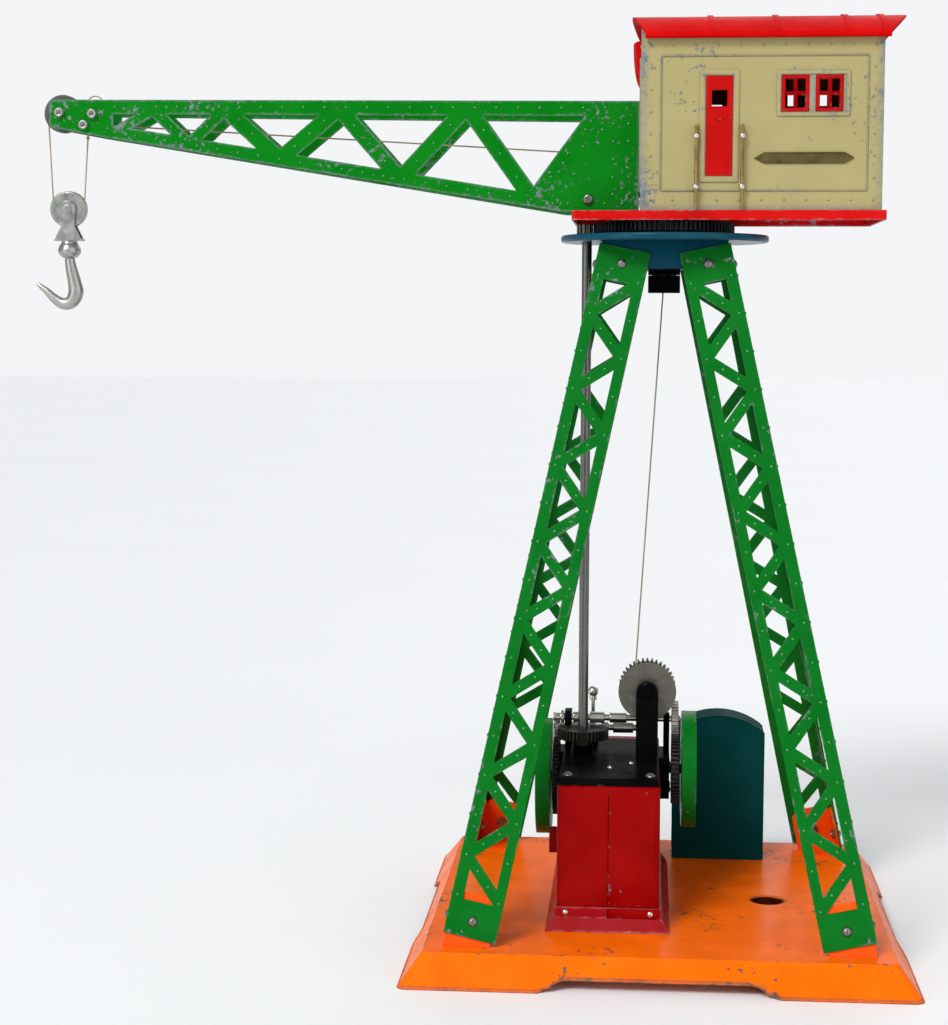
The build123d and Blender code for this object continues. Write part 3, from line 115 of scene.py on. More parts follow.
# The hook's middle line (x and z) with its half width: it swells into the bend and tapers to a blunt point.
HOOK_LINE = (
    (-318.1, 358.6, 2.5), (-317.9, 354.0, 2.8), (-317.1, 349.5, 3.2), (-315.6, 342.8, 3.7), (-315.0, 337.4, 4.1),
    (-317.2, 332.8, 3.7), (-321.7, 331.4, 3.1), (-326.5, 334.0, 2.6), (-330.7, 338.0, 1.95), (-334.4, 340.9, 1.3),
    (-336.4, 342.3, 0.6),
)
# The ball, neck and swivel nut above the hook: height and radius.
HOOK_BALL = (
    (-4.4, 0.6), (-4.2, 1.9), (-3.6, 3.5), (-2.6, 4.85), (-1.3, 5.8), (0.0, 6.1), (1.3, 5.95), (2.6, 5.4),
    (3.7, 4.7), (3.9, 4.3), (4.9, 4.3), (5.1, 4.0), (5.1, 1.6), (6.8, 1.6), (6.8, 2.3), (7.4, 2.3),
    (7.6, 1.6), (7.6, 0.2),
)

# ---- node materials ----

# Scales of the noises, from the broadest marks to the finest.
FLOOR_TONES, PATCHES, TONES, SOIL, GRIME, STAINS = 3.0, 26.0, 45.0, 60.0, 70.0, 140.0
UNEVEN, SHEET, RIPPLES, SPECKLES, SCRATCHES, STRANDS = 220.0, 420.0, 520.0, 900.0, 1500.0, 620.0
ROUNDED_EDGE, CHIP_DEPTH, RIPPLE_DEPTH, STRAND_DEPTH = 0.0005, 0.00012, 0.00001, 0.00012
# The level of noise above which paint is gone if chips is 0, how much chips = 1 lowers it, and how
# far below it the darker rim of a chip begins.
SOUND_LEVEL, CHIPS_LOWER, CHIP_RIM = 0.76, 0.14, 0.025


class Shader:
    """A node material under construction."""

    def __init__(self, name):
        self.material = bpy.data.materials.new(name)
        self.material.use_nodes = True
        self.tree = self.material.node_tree
        self.principled = self.tree.nodes["Principled BSDF"]
        self.place = self.node("ShaderNodeTexCoord").outputs["Object"]

    def node(self, kind, **settings):
        made = self.tree.nodes.new(kind)
        for key, value in settings.items():
            setattr(made, key, value)
        return made

    def link(self, source, target):
        if hasattr(source, "is_output"):
            self.tree.links.new(source, target)
        else:
            target.default_value = source

    def noise(self, scale, detail=4.0, rough=0.6, stretch=(1, 1, 1), shift=0.0):
        mapping = self.node("ShaderNodeMapping")
        self.link(self.place, mapping.inputs["Vector"])
        mapping.inputs["Scale"].default_value = stretch
        mapping.inputs["Location"].default_value = (shift, shift * 0.7, -shift)
        noise = self.node("ShaderNodeTexNoise")
        self.link(mapping.outputs[0], noise.inputs["Vector"])
        noise.inputs["Scale"].default_value = scale
        noise.inputs["Detail"].default_value = detail
        noise.inputs["Roughness"].default_value = rough
        return noise.outputs["Fac"]

    def maths(self, operation, a, b=0.0, clamp=False):
        made = self.node("ShaderNodeMath", operation=operation, use_clamp=clamp)
        self.link(a, made.inputs[0])
        self.link(b, made.inputs[1])
        return made.outputs[0]

    def between(self, value, low, high, to_low=0.0, to_high=1.0):
        made = self.node("ShaderNodeMapRange")
        self.link(value, made.inputs["Value"])
        for key, number in (("From Min", low), ("From Max", high), ("To Min", to_low), ("To Max", to_high)):
            made.inputs[key].default_value = number
        return made.outputs["Result"]

    def mix(self, share, a, b):
        made = self.node("ShaderNodeMix", data_type="RGBA")
        self.link(share, made.inputs[0])
        self.link(rgba(a), made.inputs[6])
        self.link(rgba(b), made.inputs[7])
        return made.outputs[2]

    def rounded(self, radius):
        bevel = self.node("ShaderNodeBevel", samples=6)
        bevel.inputs["Radius"].default_value = radius
        return bevel.outputs["Normal"]

    def edges(self, rounded, low=0.02, high=0.22):
        """1 along convex and concave edges, 0 on flat faces."""
        normal = self.node("ShaderNodeNewGeometry").outputs["True Normal"]
        dot = self.node("ShaderNodeVectorMath", operation="DOT_PRODUCT")
        self.link(rounded, dot.inputs[0])
        self.link(normal, dot.inputs[1])
        away = self.maths("SUBTRACT", 1.0, dot.outputs["Value"])
        return self.between(away, low, high)

    def bump(self, height, distance, normal=None, strength=1.0):
        made = self.node("ShaderNodeBump")
        self.link(height, made.inputs["Height"])
        made.inputs["Distance"].default_value = distance
        made.inputs["Strength"].default_value = strength
        if normal is not None:
            self.link(normal, made.inputs["Normal"])
        return made.outputs["Normal"]

    def finish(self, **sockets):
        for key, value in sockets.items():
            self.link(rgba(value), self.principled.inputs[key.replace("_", " ")])
        return self.material


def rgba(value):
    return (*value, 1.0) if isinstance(value, tuple) and len(value) == 3 else value


def tinted(colour, share, more=0.0):
    return tuple(min(1.0, c * share + more) for c in colour)


def enamel(name, colour, chips=0.5, edge_chips=0.5, rough=0.24, bare=(0.20, 0.24, 0.27), fade=0.10,
           shift=0.0, wear_width=0.0026, chip_scale=230.0, gloss=0.35, patchy=1.0, worn_ends=None):
    """Gloss paint on sheet metal, chipped to the bare sheet, most of all along its edges. worn_ends
    is (middle, half length, reach, amount), in metres: more wear towards both ends in x."""
    s = Shader(name)
    rounded = s.rounded(ROUNDED_EDGE)
    fine = s.noise(chip_scale, 7.0, 0.62, shift=shift)
    patches = s.noise(PATCHES, 3.0, 0.5, shift=shift + 3.0)
    wide_edge = s.edges(s.rounded(wear_width), 0.01, 0.5)
    level = s.maths("ADD", fine, s.maths("MULTIPLY", wide_edge, edge_chips * 0.34))
    level = s.maths("ADD", level, s.between(patches, 0.36, 0.66, -0.13 * patchy, 0.10 * patchy))
    if worn_ends:
        middle, half, reach, amount = worn_ends
        x = s.node("ShaderNodeSeparateXYZ")
        s.link(s.place, x.inputs[0])
        away = s.maths("ABSOLUTE", s.maths("SUBTRACT", x.outputs["X"], middle))
        level = s.maths("ADD", level, s.between(away, half - reach, half, 0.0, amount))
    threshold = SOUND_LEVEL - CHIPS_LOWER * chips
    chip = s.between(level, threshold, threshold + 0.01)
    rim = s.between(level, threshold - CHIP_RIM, threshold)
    tone = s.noise(TONES, 3.0, 0.5, shift=shift + 7.0)
    paint = s.mix(s.between(tone, 0.3, 0.7), tinted(colour, 1 - fade), tinted(colour, 1 + fade, 0.002))
    speckle = s.noise(SPECKLES, 2.0, 0.5, shift=shift + 11.0)
    paint = s.mix(s.between(speckle, 0.66, 0.8, 0.0, 0.35), paint, tinted(colour, 0.55))
    paint = s.mix(s.maths("MULTIPLY", rim, 0.5), paint, tinted(colour, 0.45))
    sheet = s.mix(s.between(s.noise(SHEET, 4.0, 0.6), 0.35, 0.65), tinted(bare, 0.6), bare)
    grime = s.between(s.noise(GRIME, 5.0, 0.7, shift=shift + 5.0), 0.3, 0.75, rough * 0.8, rough * 1.5)
    normal = s.bump(s.noise(RIPPLES, 2.0, 0.5), RIPPLE_DEPTH, rounded)
    normal = s.bump(s.maths("SUBTRACT", 1.0, chip), CHIP_DEPTH, normal, 0.7)
    return s.finish(Base_Color=s.mix(chip, paint, sheet), Metallic=s.maths("MULTIPLY", chip, 0.3), Normal=normal,
                    Roughness=s.maths("ADD", grime, s.maths("MULTIPLY", chip, 0.22), clamp=True),
                    Specular_IOR_Level=gloss)


def plated(name, colour, rough=0.22, tarnish=0.4, dark=0.35, grain=(1, 1, 1), shift=0.0, relief=0.00001):
    """Plated or bare metal with fine scratches, tarnished patches, and a painted highlight along its edges."""
    s = Shader(name)
    rounded = s.rounded(ROUNDED_EDGE)
    stain = s.between(s.noise(STAINS, 6.0, 0.65, shift=shift), 0.42, 0.66)
    stain = s.maths("MULTIPLY", stain, tarnish)
    metal = s.mix(stain, colour, tinted(colour, dark))
    # Painted highlight: convex and concave edges are painted lighter than the metal.
    metal = s.mix(s.maths("MULTIPLY", s.edges(rounded), 0.35), metal, tinted(colour, 1.35))
    scratch = s.noise(SCRATCHES, 2.0, 0.5, stretch=grain, shift=shift + 2.0)
    uneven = s.between(s.noise(UNEVEN, 4.0, 0.6, shift=shift + 4.0), 0.3, 0.7, rough * 0.7, rough * 1.5)
    rough_out = s.maths("ADD", uneven, s.maths("MULTIPLY", stain, 0.25), clamp=True)
    return s.finish(Base_Color=metal, Roughness=rough_out, Metallic=0.95, Normal=s.bump(scratch, relief, rounded))


def cotton(name, colour):
    """Twisted cotton cord: slanting strands with painted shade in their grooves, and a soft nap."""
    s = Shader(name)
    wave = s.node("ShaderNodeTexWave", wave_type="BANDS", bands_direction="DIAGONAL")
    s.link(s.place, wave.inputs["Vector"])
    wave.inputs["Scale"].default_value = STRANDS
    wave.inputs["Distortion"].default_value = 1.5
    strands = wave.outputs["Fac"]
    soiled = s.between(s.noise(SOIL, 4.0, 0.6), 0.35, 0.7)
    base = s.mix(soiled, colour, tinted(colour, 0.6))
    # Darker along the grooves between the strands: painted shade.
    base = s.mix(s.between(strands, 0.0, 0.5, 0.5, 0.0), base, tinted(colour, 0.45))
    return s.finish(Base_Color=base, Roughness=0.85, Normal=s.bump(strands, STRAND_DEPTH), Sheen_Weight=0.3)


def studio_grey(name, colour):
    """The matt floor."""
    s = Shader(name)
    tone = s.between(s.noise(FLOOR_TONES, 4.0, 0.5), 0.3, 0.7)
    base = s.mix(tone, tinted(colour, 0.985), colour)
    return s.finish(Base_Color=base, Roughness=0.6)


GREEN_RGB, ORANGE_RGB, RED_RGB = (0.0008, 0.138, 0.010), (0.93, 0.140, 0.001), (0.26, 0.0008, 0.001)
CREAM_RGB, TEAL_RGB, BLACK_RGB = (0.375, 0.322, 0.14), (0.001, 0.056, 0.090), (0.002, 0.0025, 0.003)
BRIGHT_RED_RGB = (0.56, 0.0025, 0.0025)
GREEN = enamel("green_enamel", GREEN_RGB, chips=0.5, edge_chips=0.5, bare=(0.16, 0.24, 0.20), gloss=0.08)
# The rivets' green is lighter than the green of the legs and boom they sit on: a painted highlight on the rivet
# heads.
RIVET_GREEN_PAINTED_HIGHLIGHT = enamel("green_rivets_painted_highlight", (0.002, 0.19, 0.02), chips=0.3, edge_chips=0.1, rough=0.16, gloss=0.9)
BOOM_GREEN = enamel("boom_green", (0.0005, 0.17, 0.005), chips=0.95, edge_chips=1.1, shift=1.7,
                    bare=(0.17, 0.25, 0.22), chip_scale=380.0, gloss=0.06, patchy=0.9,
                    worn_ends=(-0.1696, 0.156, 0.045, 0.045))
ORANGE = enamel("orange_enamel", ORANGE_RGB, chips=0.56, edge_chips=1.5, bare=(0.13, 0.12, 0.09), shift=2.3,
                chip_scale=300.0, gloss=0.035)
RED = enamel("red_enamel", RED_RGB, chips=0.16, edge_chips=0.5, rough=0.20, shift=3.1, gloss=0.03)
# The skirt's pale pink chips, thickest along its edges, are worn paint and also a painted highlight along the
# flare's edges.
SKIRT_RED = enamel("skirt_red", (0.30, 0.002, 0.006), chips=0.6, edge_chips=0.9, rough=0.22, shift=3.3,
                   bare=(0.50, 0.16, 0.18), gloss=0.16)
DOOR_RED = enamel("door_red", (0.46, 0.002, 0.002), chips=0.1, edge_chips=0.3, shift=3.6, gloss=0.10)
ROOF_RED = enamel("roof_red", BRIGHT_RED_RGB, chips=0.05, edge_chips=0.2, rough=0.30, shift=4.2, gloss=0.006)
FLOOR_RED = enamel("floor_red", BRIGHT_RED_RGB, chips=0.6, edge_chips=0.8, shift=4.9, bare=(0.55, 0.36, 0.36),
                   gloss=0.12)
BRACKET_RED = enamel("bracket_orange", (0.86, 0.085, 0.002), chips=0.25, edge_chips=0.6, shift=5.3, gloss=0.14)
CREAM = enamel("cream_enamel", CREAM_RGB, chips=0.62, edge_chips=1.2, rough=0.30, bare=(0.24, 0.265, 0.28),
               fade=0.04, shift=6.1, wear_width=0.006, chip_scale=330.0, gloss=0.2,
               worn_ends=(0.0475, 0.0605, 0.014, 0.075))
TEAL = enamel("teal_enamel", TEAL_RGB, chips=0.12, edge_chips=0.35, shift=7.7, gloss=0.14)
BOX_TEAL = enamel("box_teal", (0.0008, 0.044, 0.043), chips=0.04, edge_chips=0.3, rough=0.40, shift=8.3,
                  gloss=0.01)
BLACK = enamel("black_enamel", BLACK_RGB, chips=0.12, edge_chips=0.35, bare=(0.10, 0.11, 0.12), shift=9.4,
               gloss=0.006)
NICKEL = plated("nickel", (0.66, 0.64, 0.58), rough=0.18, tarnish=0.10, relief=0.000001)
DULL_NICKEL = plated("dull_nickel", (0.38, 0.385, 0.36), rough=0.30, tarnish=0.12, dark=0.6, shift=1.5,
                     relief=0.000004)
SCREW_STEEL = plated("screw_steel", (0.24, 0.24, 0.23), rough=0.28, tarnish=0.6, shift=2.8)
STEEL = plated("drawn_steel", (0.17, 0.17, 0.155), rough=0.26, tarnish=0.08, dark=0.6, grain=(1, 1, 0.05),
               shift=3.3, relief=0.000002)
SHEAVE_STEEL = plated("sheave_steel", (0.13, 0.13, 0.12), rough=0.34, tarnish=0.4, shift=3.9)
BRASS = plated("aged_brass", (0.36, 0.25, 0.09), rough=0.28, tarnish=0.6, shift=4.4)
PLATE_BRASS = plated("plate_brass", (0.15, 0.12, 0.045), rough=0.40, tarnish=0.6, shift=4.9)
BRONZE = plated("dark_bronze", (0.16, 0.150, 0.125), rough=0.36, tarnish=0.4, dark=0.55, shift=5.8)
GEAR_BRONZE = plated("gear_bronze", (0.055, 0.050, 0.044), rough=0.34, tarnish=0.6, dark=0.4, shift=6.2)
GEAR_BLACK = plated("gear_black", (0.026, 0.032, 0.036), rough=0.35, tarnish=0.5, shift=6.6)
IRON = plated("laminated_iron", (0.20, 0.19, 0.18), rough=0.5, grain=(1, 0.05, 1), shift=7.1)
COPPER = plated("wound_copper", (0.55, 0.26, 0.12), rough=0.35, tarnish=0.3, shift=8.9)
CORD = cotton("cotton_cord", (0.50, 0.35, 0.21))

NODE_MATERIALS = {
    GREEN: ("leg_front_left", "leg_front_right", "leg_rear_left", "leg_rear_right",
            "hand_wheel_left", "hand_wheel_right"),
    BOOM_GREEN: ("boom_plate_front", "boom_plate_rear"),
    ORANGE: ("base_tray",),
    BRACKET_RED: ("foot_brackets",),
    RED: ("motor_housing", "terminal_block", "window_frames"),
    SKIRT_RED: ("housing_skirt",),
    DOOR_RED: ("doors",),
    ROOF_RED: ("cab_roof", "end_hood"),
    FLOOR_RED: ("floor_plate",),
    CREAM: ("cab_walls",),
    TEAL: ("head_plate", "head_bracket", "root_bracket"),
    BOX_TEAL: ("control_box",),
    BLACK: ("gear_frame", "head_bush", "spindle_collar"),
    GEAR_BLACK: ("ring_gear",),
    SCREW_STEEL: ("screws", "leg_nuts", "root_screws"),
    NICKEL: ("clutch_lever", "rail_posts", "hoist_shaft", "slew_drive_shaft"),
    DULL_NICKEL: ("hook", "block_yoke", "block_sheave", "tip_pins"),
    SHEAVE_STEEL: ("tip_sheave", "guide_roller"),
    STEEL: ("slew_shaft", "spindle", "pulley_bracket", "motor_end_plates"),
    BRASS: ("handrails", "cab_pulley"),
    PLATE_BRASS: ("side_plates",),
    BRONZE: ("hoist_drum",),
    GEAR_BRONZE: ("slew_wheel", "wheel_gear_left", "wheel_gear_right"),
    IRON: ("field_magnet", "control_resistor"),
    COPPER: ("armature",),
    CORD: ("cord_riser", "cord_boom", "cord_bight"),
}


def paint_nodes():
    for material, names in NODE_MATERIALS.items():
        for name in names:
            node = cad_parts[name]
            node.data.materials.clear()
            node.data.materials.append(material)


# ---- mesh helpers, all in millimetres ----


class Piece:
    """A mesh under construction, which becomes one object."""

    def __init__(self):
        self.points, self.faces = [], []

    def rings(self, rings, closed=False, caps=True):
        """Skins a row of rings that have the same number of points."""
        start, count = len(self.points), len(rings[0])
        self.points += [tuple(p) for ring in rings for p in ring]
        for i in range(len(rings) if closed else len(rings) - 1):
            a, b = start + i * count, start + (i + 1) % len(rings) * count
            self.faces += [(a + j, a + (j + 1) % count, b + (j + 1) % count, b + j) for j in range(count)]
        if caps and not closed:
            end = len(self.points)
            self.faces += [tuple(reversed(range(start, start + count))), tuple(range(end - count, end))]

    def build(self, name, material, sharp):
        """Makes the object. Edges that turn by more than sharp degrees stay sharp."""
        mesh = bpy.data.meshes.new(name)
        mesh.from_pydata([[c * MM for c in p] for p in self.points], [], self.faces)
        work = bmesh.new()
        work.from_mesh(mesh)
        bmesh.ops.recalc_face_normals(work, faces=work.faces)
        work.to_mesh(mesh)
        work.free()
        mesh.materials.append(material)
        mesh.polygons.foreach_set("use_smooth", [True] * len(mesh.polygons))
        mesh.set_sharp_from_angle(angle=radians(sharp))
        piece = bpy.data.objects.new(name, mesh)
        bpy.context.scene.collection.objects.link(piece)
        return piece

    def make(self, name, body, material, sharp=35.0):
        """Makes the object and lets it ride on a body."""
        piece = self.build(name, material, sharp)
        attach(piece, body)
        return piece


def circle(count):
    """Evenly spaced angles, once round."""
    return [2 * pi * i / count for i in range(count)]


def spread(low, high, count):
    """Evenly spaced numbers, with both limits among them."""
    return [low + (high - low) * i / (count - 1) for i in range(count)]


def inward(span, by):
    """A span made shorter at both ends."""
    return span[0] + by, span[1] - by


def side_frame(normal):
    """Two directions across a normal, and the normal itself at length 1."""
    normal = Vector(normal).normalized()
    helper = Vector((0, 0, 1)) if abs(normal.z) < 0.9 else Vector((1, 0, 0))
    u = normal.cross(helper).normalized()
    return u, normal.cross(u), normal


def dome(piece, centre, normal, size, sides=10):
    """A rivet head: a low dome of a radius and height, with a small fillet at its foot."""
    r, height = size
    u, v, n = side_frame(normal)
    profile = ((1.0, -RIVET_SINK / height), (1.0, 0.05), (0.93, 0.38), (0.74, 0.70), (0.45, 0.92), (0.12, 1.0))
    rings = []
    for share, lift in profile:
        level = Vector(centre) + n * height * lift
        rings.append([level + (u * cos(a) + v * sin(a)) * r * share for a in circle(sides)])
    piece.rings(rings)


def tube(piece, path, r, sides=8, closed=False):
    """A round bar along a path of points."""
    path = [Vector(p) for p in path]
    count = len(path)
    rings = []
    u = None
    for i, p in enumerate(path):
        before = path[i - 1] if i or closed else p
        after = path[(i + 1) % count] if i < count - 1 or closed else p
        heading = (after - before).normalized()
        if u is None:
            u = side_frame(heading)[0]
        u = (u - heading * u.dot(heading)).normalized()
        v = heading.cross(u)
        rings.append([p + (u * cos(a) + v * sin(a)) * r for a in circle(sides)])
    piece.rings(rings, closed=closed)


def lathe(piece, profile, centre, axis, steps):
    """Turns (along, radius) pairs about an axis through centre."""
    u, v, n = side_frame(axis)
    rings = []
    for along, r in profile:
        level = Vector(centre) + n * along
        rings.append([level + (u * cos(a) + v * sin(a)) * r for a in circle(steps)])
    piece.rings(rings)


def inset_rect(rect, inset):
    """The left, right, low and high limits of a rectangle, moved inwards."""
    (x0, x1), (z0, z1) = rect
    return x0 + inset, x1 - inset, z0 + inset, z1 - inset


def band(piece, rect, profile, place, corner):
    """A moulding round a rectangle with rounded corners. Its profile is (distance inwards, height)
    pairs, and place turns (across, up, height) into a point."""
    loops = []
    for inset, height in profile:
        r = max(corner - inset, 0.0)
        x0, x1, z0, z1 = inset_rect(rect, inset)
        loop = []
        corners = ((x1 - r, z1 - r, 0), (x0 + r, z1 - r, 90), (x0 + r, z0 + r, 180), (x1 - r, z0 + r, 270))
        for x, z, turn in corners:
            for angle in (radians(turn + 30 * step) for step in range(4)):
                loop.append(place(x + r * cos(angle), z + r * sin(angle), height))
        loops.append(loop)
    piece.rings(loops, caps=False)


def lap(piece, rect, profile, place):
    """A lapped sheet with square corners. Profile and place are as in band()."""
    rings = []
    for inset, height in profile:
        x0, x1, z0, z1 = inset_rect(rect, inset)
        rings.append([place(x, z, height) for x, z in ((x0, z0), (x1, z0), (x1, z1), (x0, z1))])
    piece.rings(rings)


def wall(side, sink=0.0):
    """Places points on the cab's front (-1) or rear (+1) wall, or a little deeper than they ask."""
    return lambda x, z, height: Vector((x, side * (CAB_HALF + (height - sink)), z))


def end_wall(side):
    """Places points on the cab's boom end (-1) or its other end (+1)."""
    x = CAB_X[1] if side > 0 else CAB_X[0]
    return lambda y, z, height: Vector((x + side * height, y, z))


# ---- legs ----


def leg_points(across_axis):
    """Rivet places on one face of the front right leg, with the face's two directions."""
    along = (LEG_TOP - LEG_FOOT).normalized()
    length = (LEG_TOP - LEG_FOOT).length
    flat = Vector(across_axis)
    flat = (flat - along * along.dot(flat)).normalized()
    pitch = (length - 2 * LEG_FIRST_NODE + LEG_LAST_NODE_SHIFT) / LEG_BAYS
    outer, inner = LEG_OUTER_RAIL / 2, LEG_FACE - LEG_INNER_RAIL / 2
    spots = []
    for half_bay in range(2 * LEG_BAYS + 1):
        s = LEG_FIRST_NODE + half_bay * pitch / 2
        spots += [(s, outer), (s, inner)]
        if half_bay < 2 * LEG_BAYS:
            start, end = (inner, outer) if half_bay % 2 == 0 else (outer, inner)
            for share in LEG_BRACE_RIVETS:
                spots.append((s + pitch / 2 * share, start + (end - start) * share))
    return [LEG_FOOT + along * s + flat * w for s, w in spots], along, flat


def leg_rivets():
    """Rivets on the two outer faces of each leg, mirrored from the front right one."""
    legs = [(sx, sy, end + "_" + hand) for sy, end in ((1, "front"), (-1, "rear"))
            for sx, hand in ((1, "right"), (-1, "left"))]
    for sx, sy, name in legs:
        piece = Piece()
        for axis in ((-1, 0, 0), (0, 1, 0)):
            points, along, flat = leg_points(axis)
            normal = along.cross(flat)
            if normal.y > 0 or normal.x < -0.5:
                normal = -normal
            turned = Vector((normal.x * sx, normal.y * sy, normal.z))
            for p in points:
                dome(piece, (p.x * sx, p.y * sy, p.z), turned, LEG_RIVET)
        piece.make("leg_rivets_" + name, "tower", RIVET_GREEN_PAINTED_HIGHLIGHT)


# ---- base ----


def base_side():
    """One side of the base's lower edge with its arch, as (along, height) pairs."""
    lift, rise = EDGE_LIFT, ARCH_RISE - 1.0
    half = edge_out(lift) - EDGE_CORNER
    left = [(-half, lift), (-ARCH_FOOT_HALF - 1.2, lift)]
    left += [(-ARCH_TOP_HALF - 4.0 - 2.0 * (1 - t), lift + rise * t) for t in (0.35, 0.7)]
    left.append((-ARCH_TOP_HALF + 3.5, ARCH_RISE + lift))
    return left + [(-along, z) for along, z in reversed(left)]


def edge_out(z):
    """How far from the middle the rolled edge's centre lies at a height."""
    slope = (BASE_HALF - DECK_HALF) / DECK_Z
    return BASE_HALF - slope * z + EDGE_PROUD - EDGE_R


def base_edge():
    """The rolled lower edge of the base, which follows the four arches."""
    half = edge_out(EDGE_LIFT) - EDGE_CORNER
    path = []
    for quarter in range(4):
        angle = quarter * pi / 2
        for x, z in base_side():
            y = -edge_out(z)
            path.append((x * cos(angle) - y * sin(angle), x * sin(angle) + y * cos(angle), z))
        corner_x, corner_y = half * cos(angle) + half * sin(angle), half * sin(angle) - half * cos(angle)
        for step in (1, 2):
            turn = angle - pi / 2 + step * pi / 6
            path.append((corner_x + EDGE_CORNER * cos(turn), corner_y + EDGE_CORNER * sin(turn), EDGE_LIFT))
    piece = Piece()
    tube(piece, path, EDGE_R, closed=True)
    piece.make("base_edge", "tower", ORANGE)


# ---- cab ----


def cab_mouldings():
    """Pressed beads and frames on the walls."""
    piece = Piece()
    for side in (-1, 1):
        for rect, profile, corner in WALL_MOULDINGS:
            band(piece, rect, profile, wall(side), corner)
    for side in (-1, 1):
        band(piece, END_BEAD, BEAD, end_wall(side), 1.4)
    piece.make("cab_mouldings", "superstructure", CREAM, sharp=50)


def cab_rivets():
    """Rows of rivets along the edges of the four walls."""
    piece = Piece()
    for side in (-1, 1):
        spots = [(x, z) for x in spread(*CAB_RIVETS_X, 11) for z in CAB_RIVETS_Z]
        spots += [(x, z) for z in spread(*CAB_RIVETS_Z, 8)[1:-1] for x in CAB_RIVETS_X]
        for x, z in spots:
            dome(piece, (x, side * CAB_HALF, z), (0, side, 0), CAB_RIVET)
    for side, x in zip((-1, 1), CAB_X):
        spots = [(y, z) for z in spread(*CAB_RIVETS_Z, 8) for y in CAB_RIVETS_Y]
        spots += [(y, CAB_RIVETS_Z[0]) for y in spread(*CAB_RIVETS_Y, 7)[1:-1]]
        for y, z in spots:
            dome(piece, (x, y, z), (side, 0, 0), CAB_RIVET)
    piece.make("cab_rivets", "superstructure", CREAM)


def door_fittings():
    """A raised edge round each door, its window and both sashes, and a small latch bar."""
    piece = Piece()
    for side in (-1, 1):
        place = wall(side, sink=0.02)
        band(piece, (inward(DOOR_X, 0.2), inward(DOOR_Z, 0.2)), DOOR_EDGE, place, 0.6)
        band(piece, DOOR_WINDOW, DOOR_WINDOW_EDGE, place, 0.6)
        tube(piece, [wall(side)(x, LATCH_Z, 0.15) for x in LATCH_X], 0.42)
        for span in SASHES_X:
            band(piece, (inward(span, 0.15), SASH_Z), SASH_EDGE, place, 0.7)
    piece.make("door_and_sash_edges", "superstructure", DOOR_RED, sharp=50)


def plate_edges():
    """The raised rim of each plain side plate."""
    piece = Piece()
    (x0, x1), (z0, z1), middle = PLATE_X, PLATE_Z, sum(PLATE_Z) / 2
    point, cut, rim = 0.8, 5.3, 0.45
    outline = ((x0 + point, middle), (x0 + cut, z0 + rim), (x1 - cut, z0 + rim),
               (x1 - point, middle), (x1 - cut, z1 - rim), (x0 + cut, z1 - rim))
    for side in (-1, 1):
        y = side * (CAB_HALF + 0.74)
        tube(piece, [(x, y, z) for x, z in outline], 0.3, sides=6, closed=True)
    piece.make("side_plate_rims", "superstructure", PLATE_BRASS)


# ---- boom ----


def boom_share(x):
    """0 at the boom's tip, 1 at its root."""
    return (x - BOOM_TIP[0]) / (BOOM_ROOT[0] - BOOM_TIP[0])


def boom_half(x):
    """Half the boom's width over the outer faces of its two plates."""
    return BOOM_TIP[1] + boom_share(x) * (BOOM_ROOT[1] - BOOM_TIP[1])


def boom_top(x):
    """Height of the boom's top edge, which falls a little towards the cab."""
    return BOOM_TIP_TOP_Z - BOOM_TOP_FALL * boom_share(x)


def boom_low(x):
    """Height of the boom's lower edge, which comes in straight runs."""
    for (x0, z0), (x1, z1) in zip(BOOM_LOW_LINE, BOOM_LOW_LINE[1:]):
        if x <= x1:
            return z0 + (z1 - z0) * (x - x0) / (x1 - x0)
    return BOOM_LOW_LINE[-1][1]


def boom_rivets():
    """Rivets along the rails, the braces and the root plate of both boom plates."""
    spots = [(x, boom_top(x) - BOOM_TOP_RAIL) for x in spread(-290.0, -20.0, 25)]
    spots += [(x, boom_low(x) + BOOM_LOW_RAIL) for x in spread(-290.0, -58.0, 22)]
    for i, top_x in enumerate(BOOM_TOP_NODES):
        for low_x in BOOM_LOW_NODES[i:i + 2]:
            a, b = Vector((top_x, BOOM_TOP_NODES_Z)), Vector((low_x, boom_low(low_x) + BOOM_LOW_RAIL))
            inner = 3 if top_x > BOOM_LONG_BRACES_X else 1
            spots += [tuple(a.lerp(b, (k + 1) / (inner + 1))) for k in range(inner)]
    spots += [(x, z) for x in (-19.0, -27.0) for z in spread(388.0, 424.0, 5)]
    spots += [(-32.5 - 10.0 * k, 421.0 - 8.4 * k) for k in range(4)]
    spots += [(x, 383.4) for x in (-22.0, -31.0, -50.0)]
    piece = Piece()
    for side in (-1, 1):
        for x, z in spots:
            dome(piece, (x, side * boom_half(x), z), (0, side, 0), BOOM_RIVET)
    piece.make("boom_rivets", "superstructure", RIVET_GREEN_PAINTED_HIGHLIGHT)


def tip_pin_heads():
    """The turned-over rims of the tubular rivets at the boom's tip, with the pins' coppery ends inside them."""
    rim = ((-0.9, 2.35), (0.1, 2.35), (0.3, 2.25), (0.38, 2.0), (0.36, 1.4), (0.2, 1.15), (-0.1, 1.05))
    end = ((-0.2, 1.0), (0.05, 0.95), (0.14, 0.6), (0.16, 0.2))
    rims, ends = Piece(), Piece()
    for x, z in TIP_PINS:
        face = boom_half(x) + TIP_PIN_PROUD
        for side in (-1, 1):
            lathe(rims, rim, (x, side * face, z), (0, side, 0), 28)
            lathe(ends, end, (x, side * face, z), (0, side, 0), 20)
    rims.make("tip_rivet_rims", "superstructure", DULL_NICKEL)
    ends.make("tip_rivet_ends", "superstructure", BRONZE)


# ---- motor unit ----


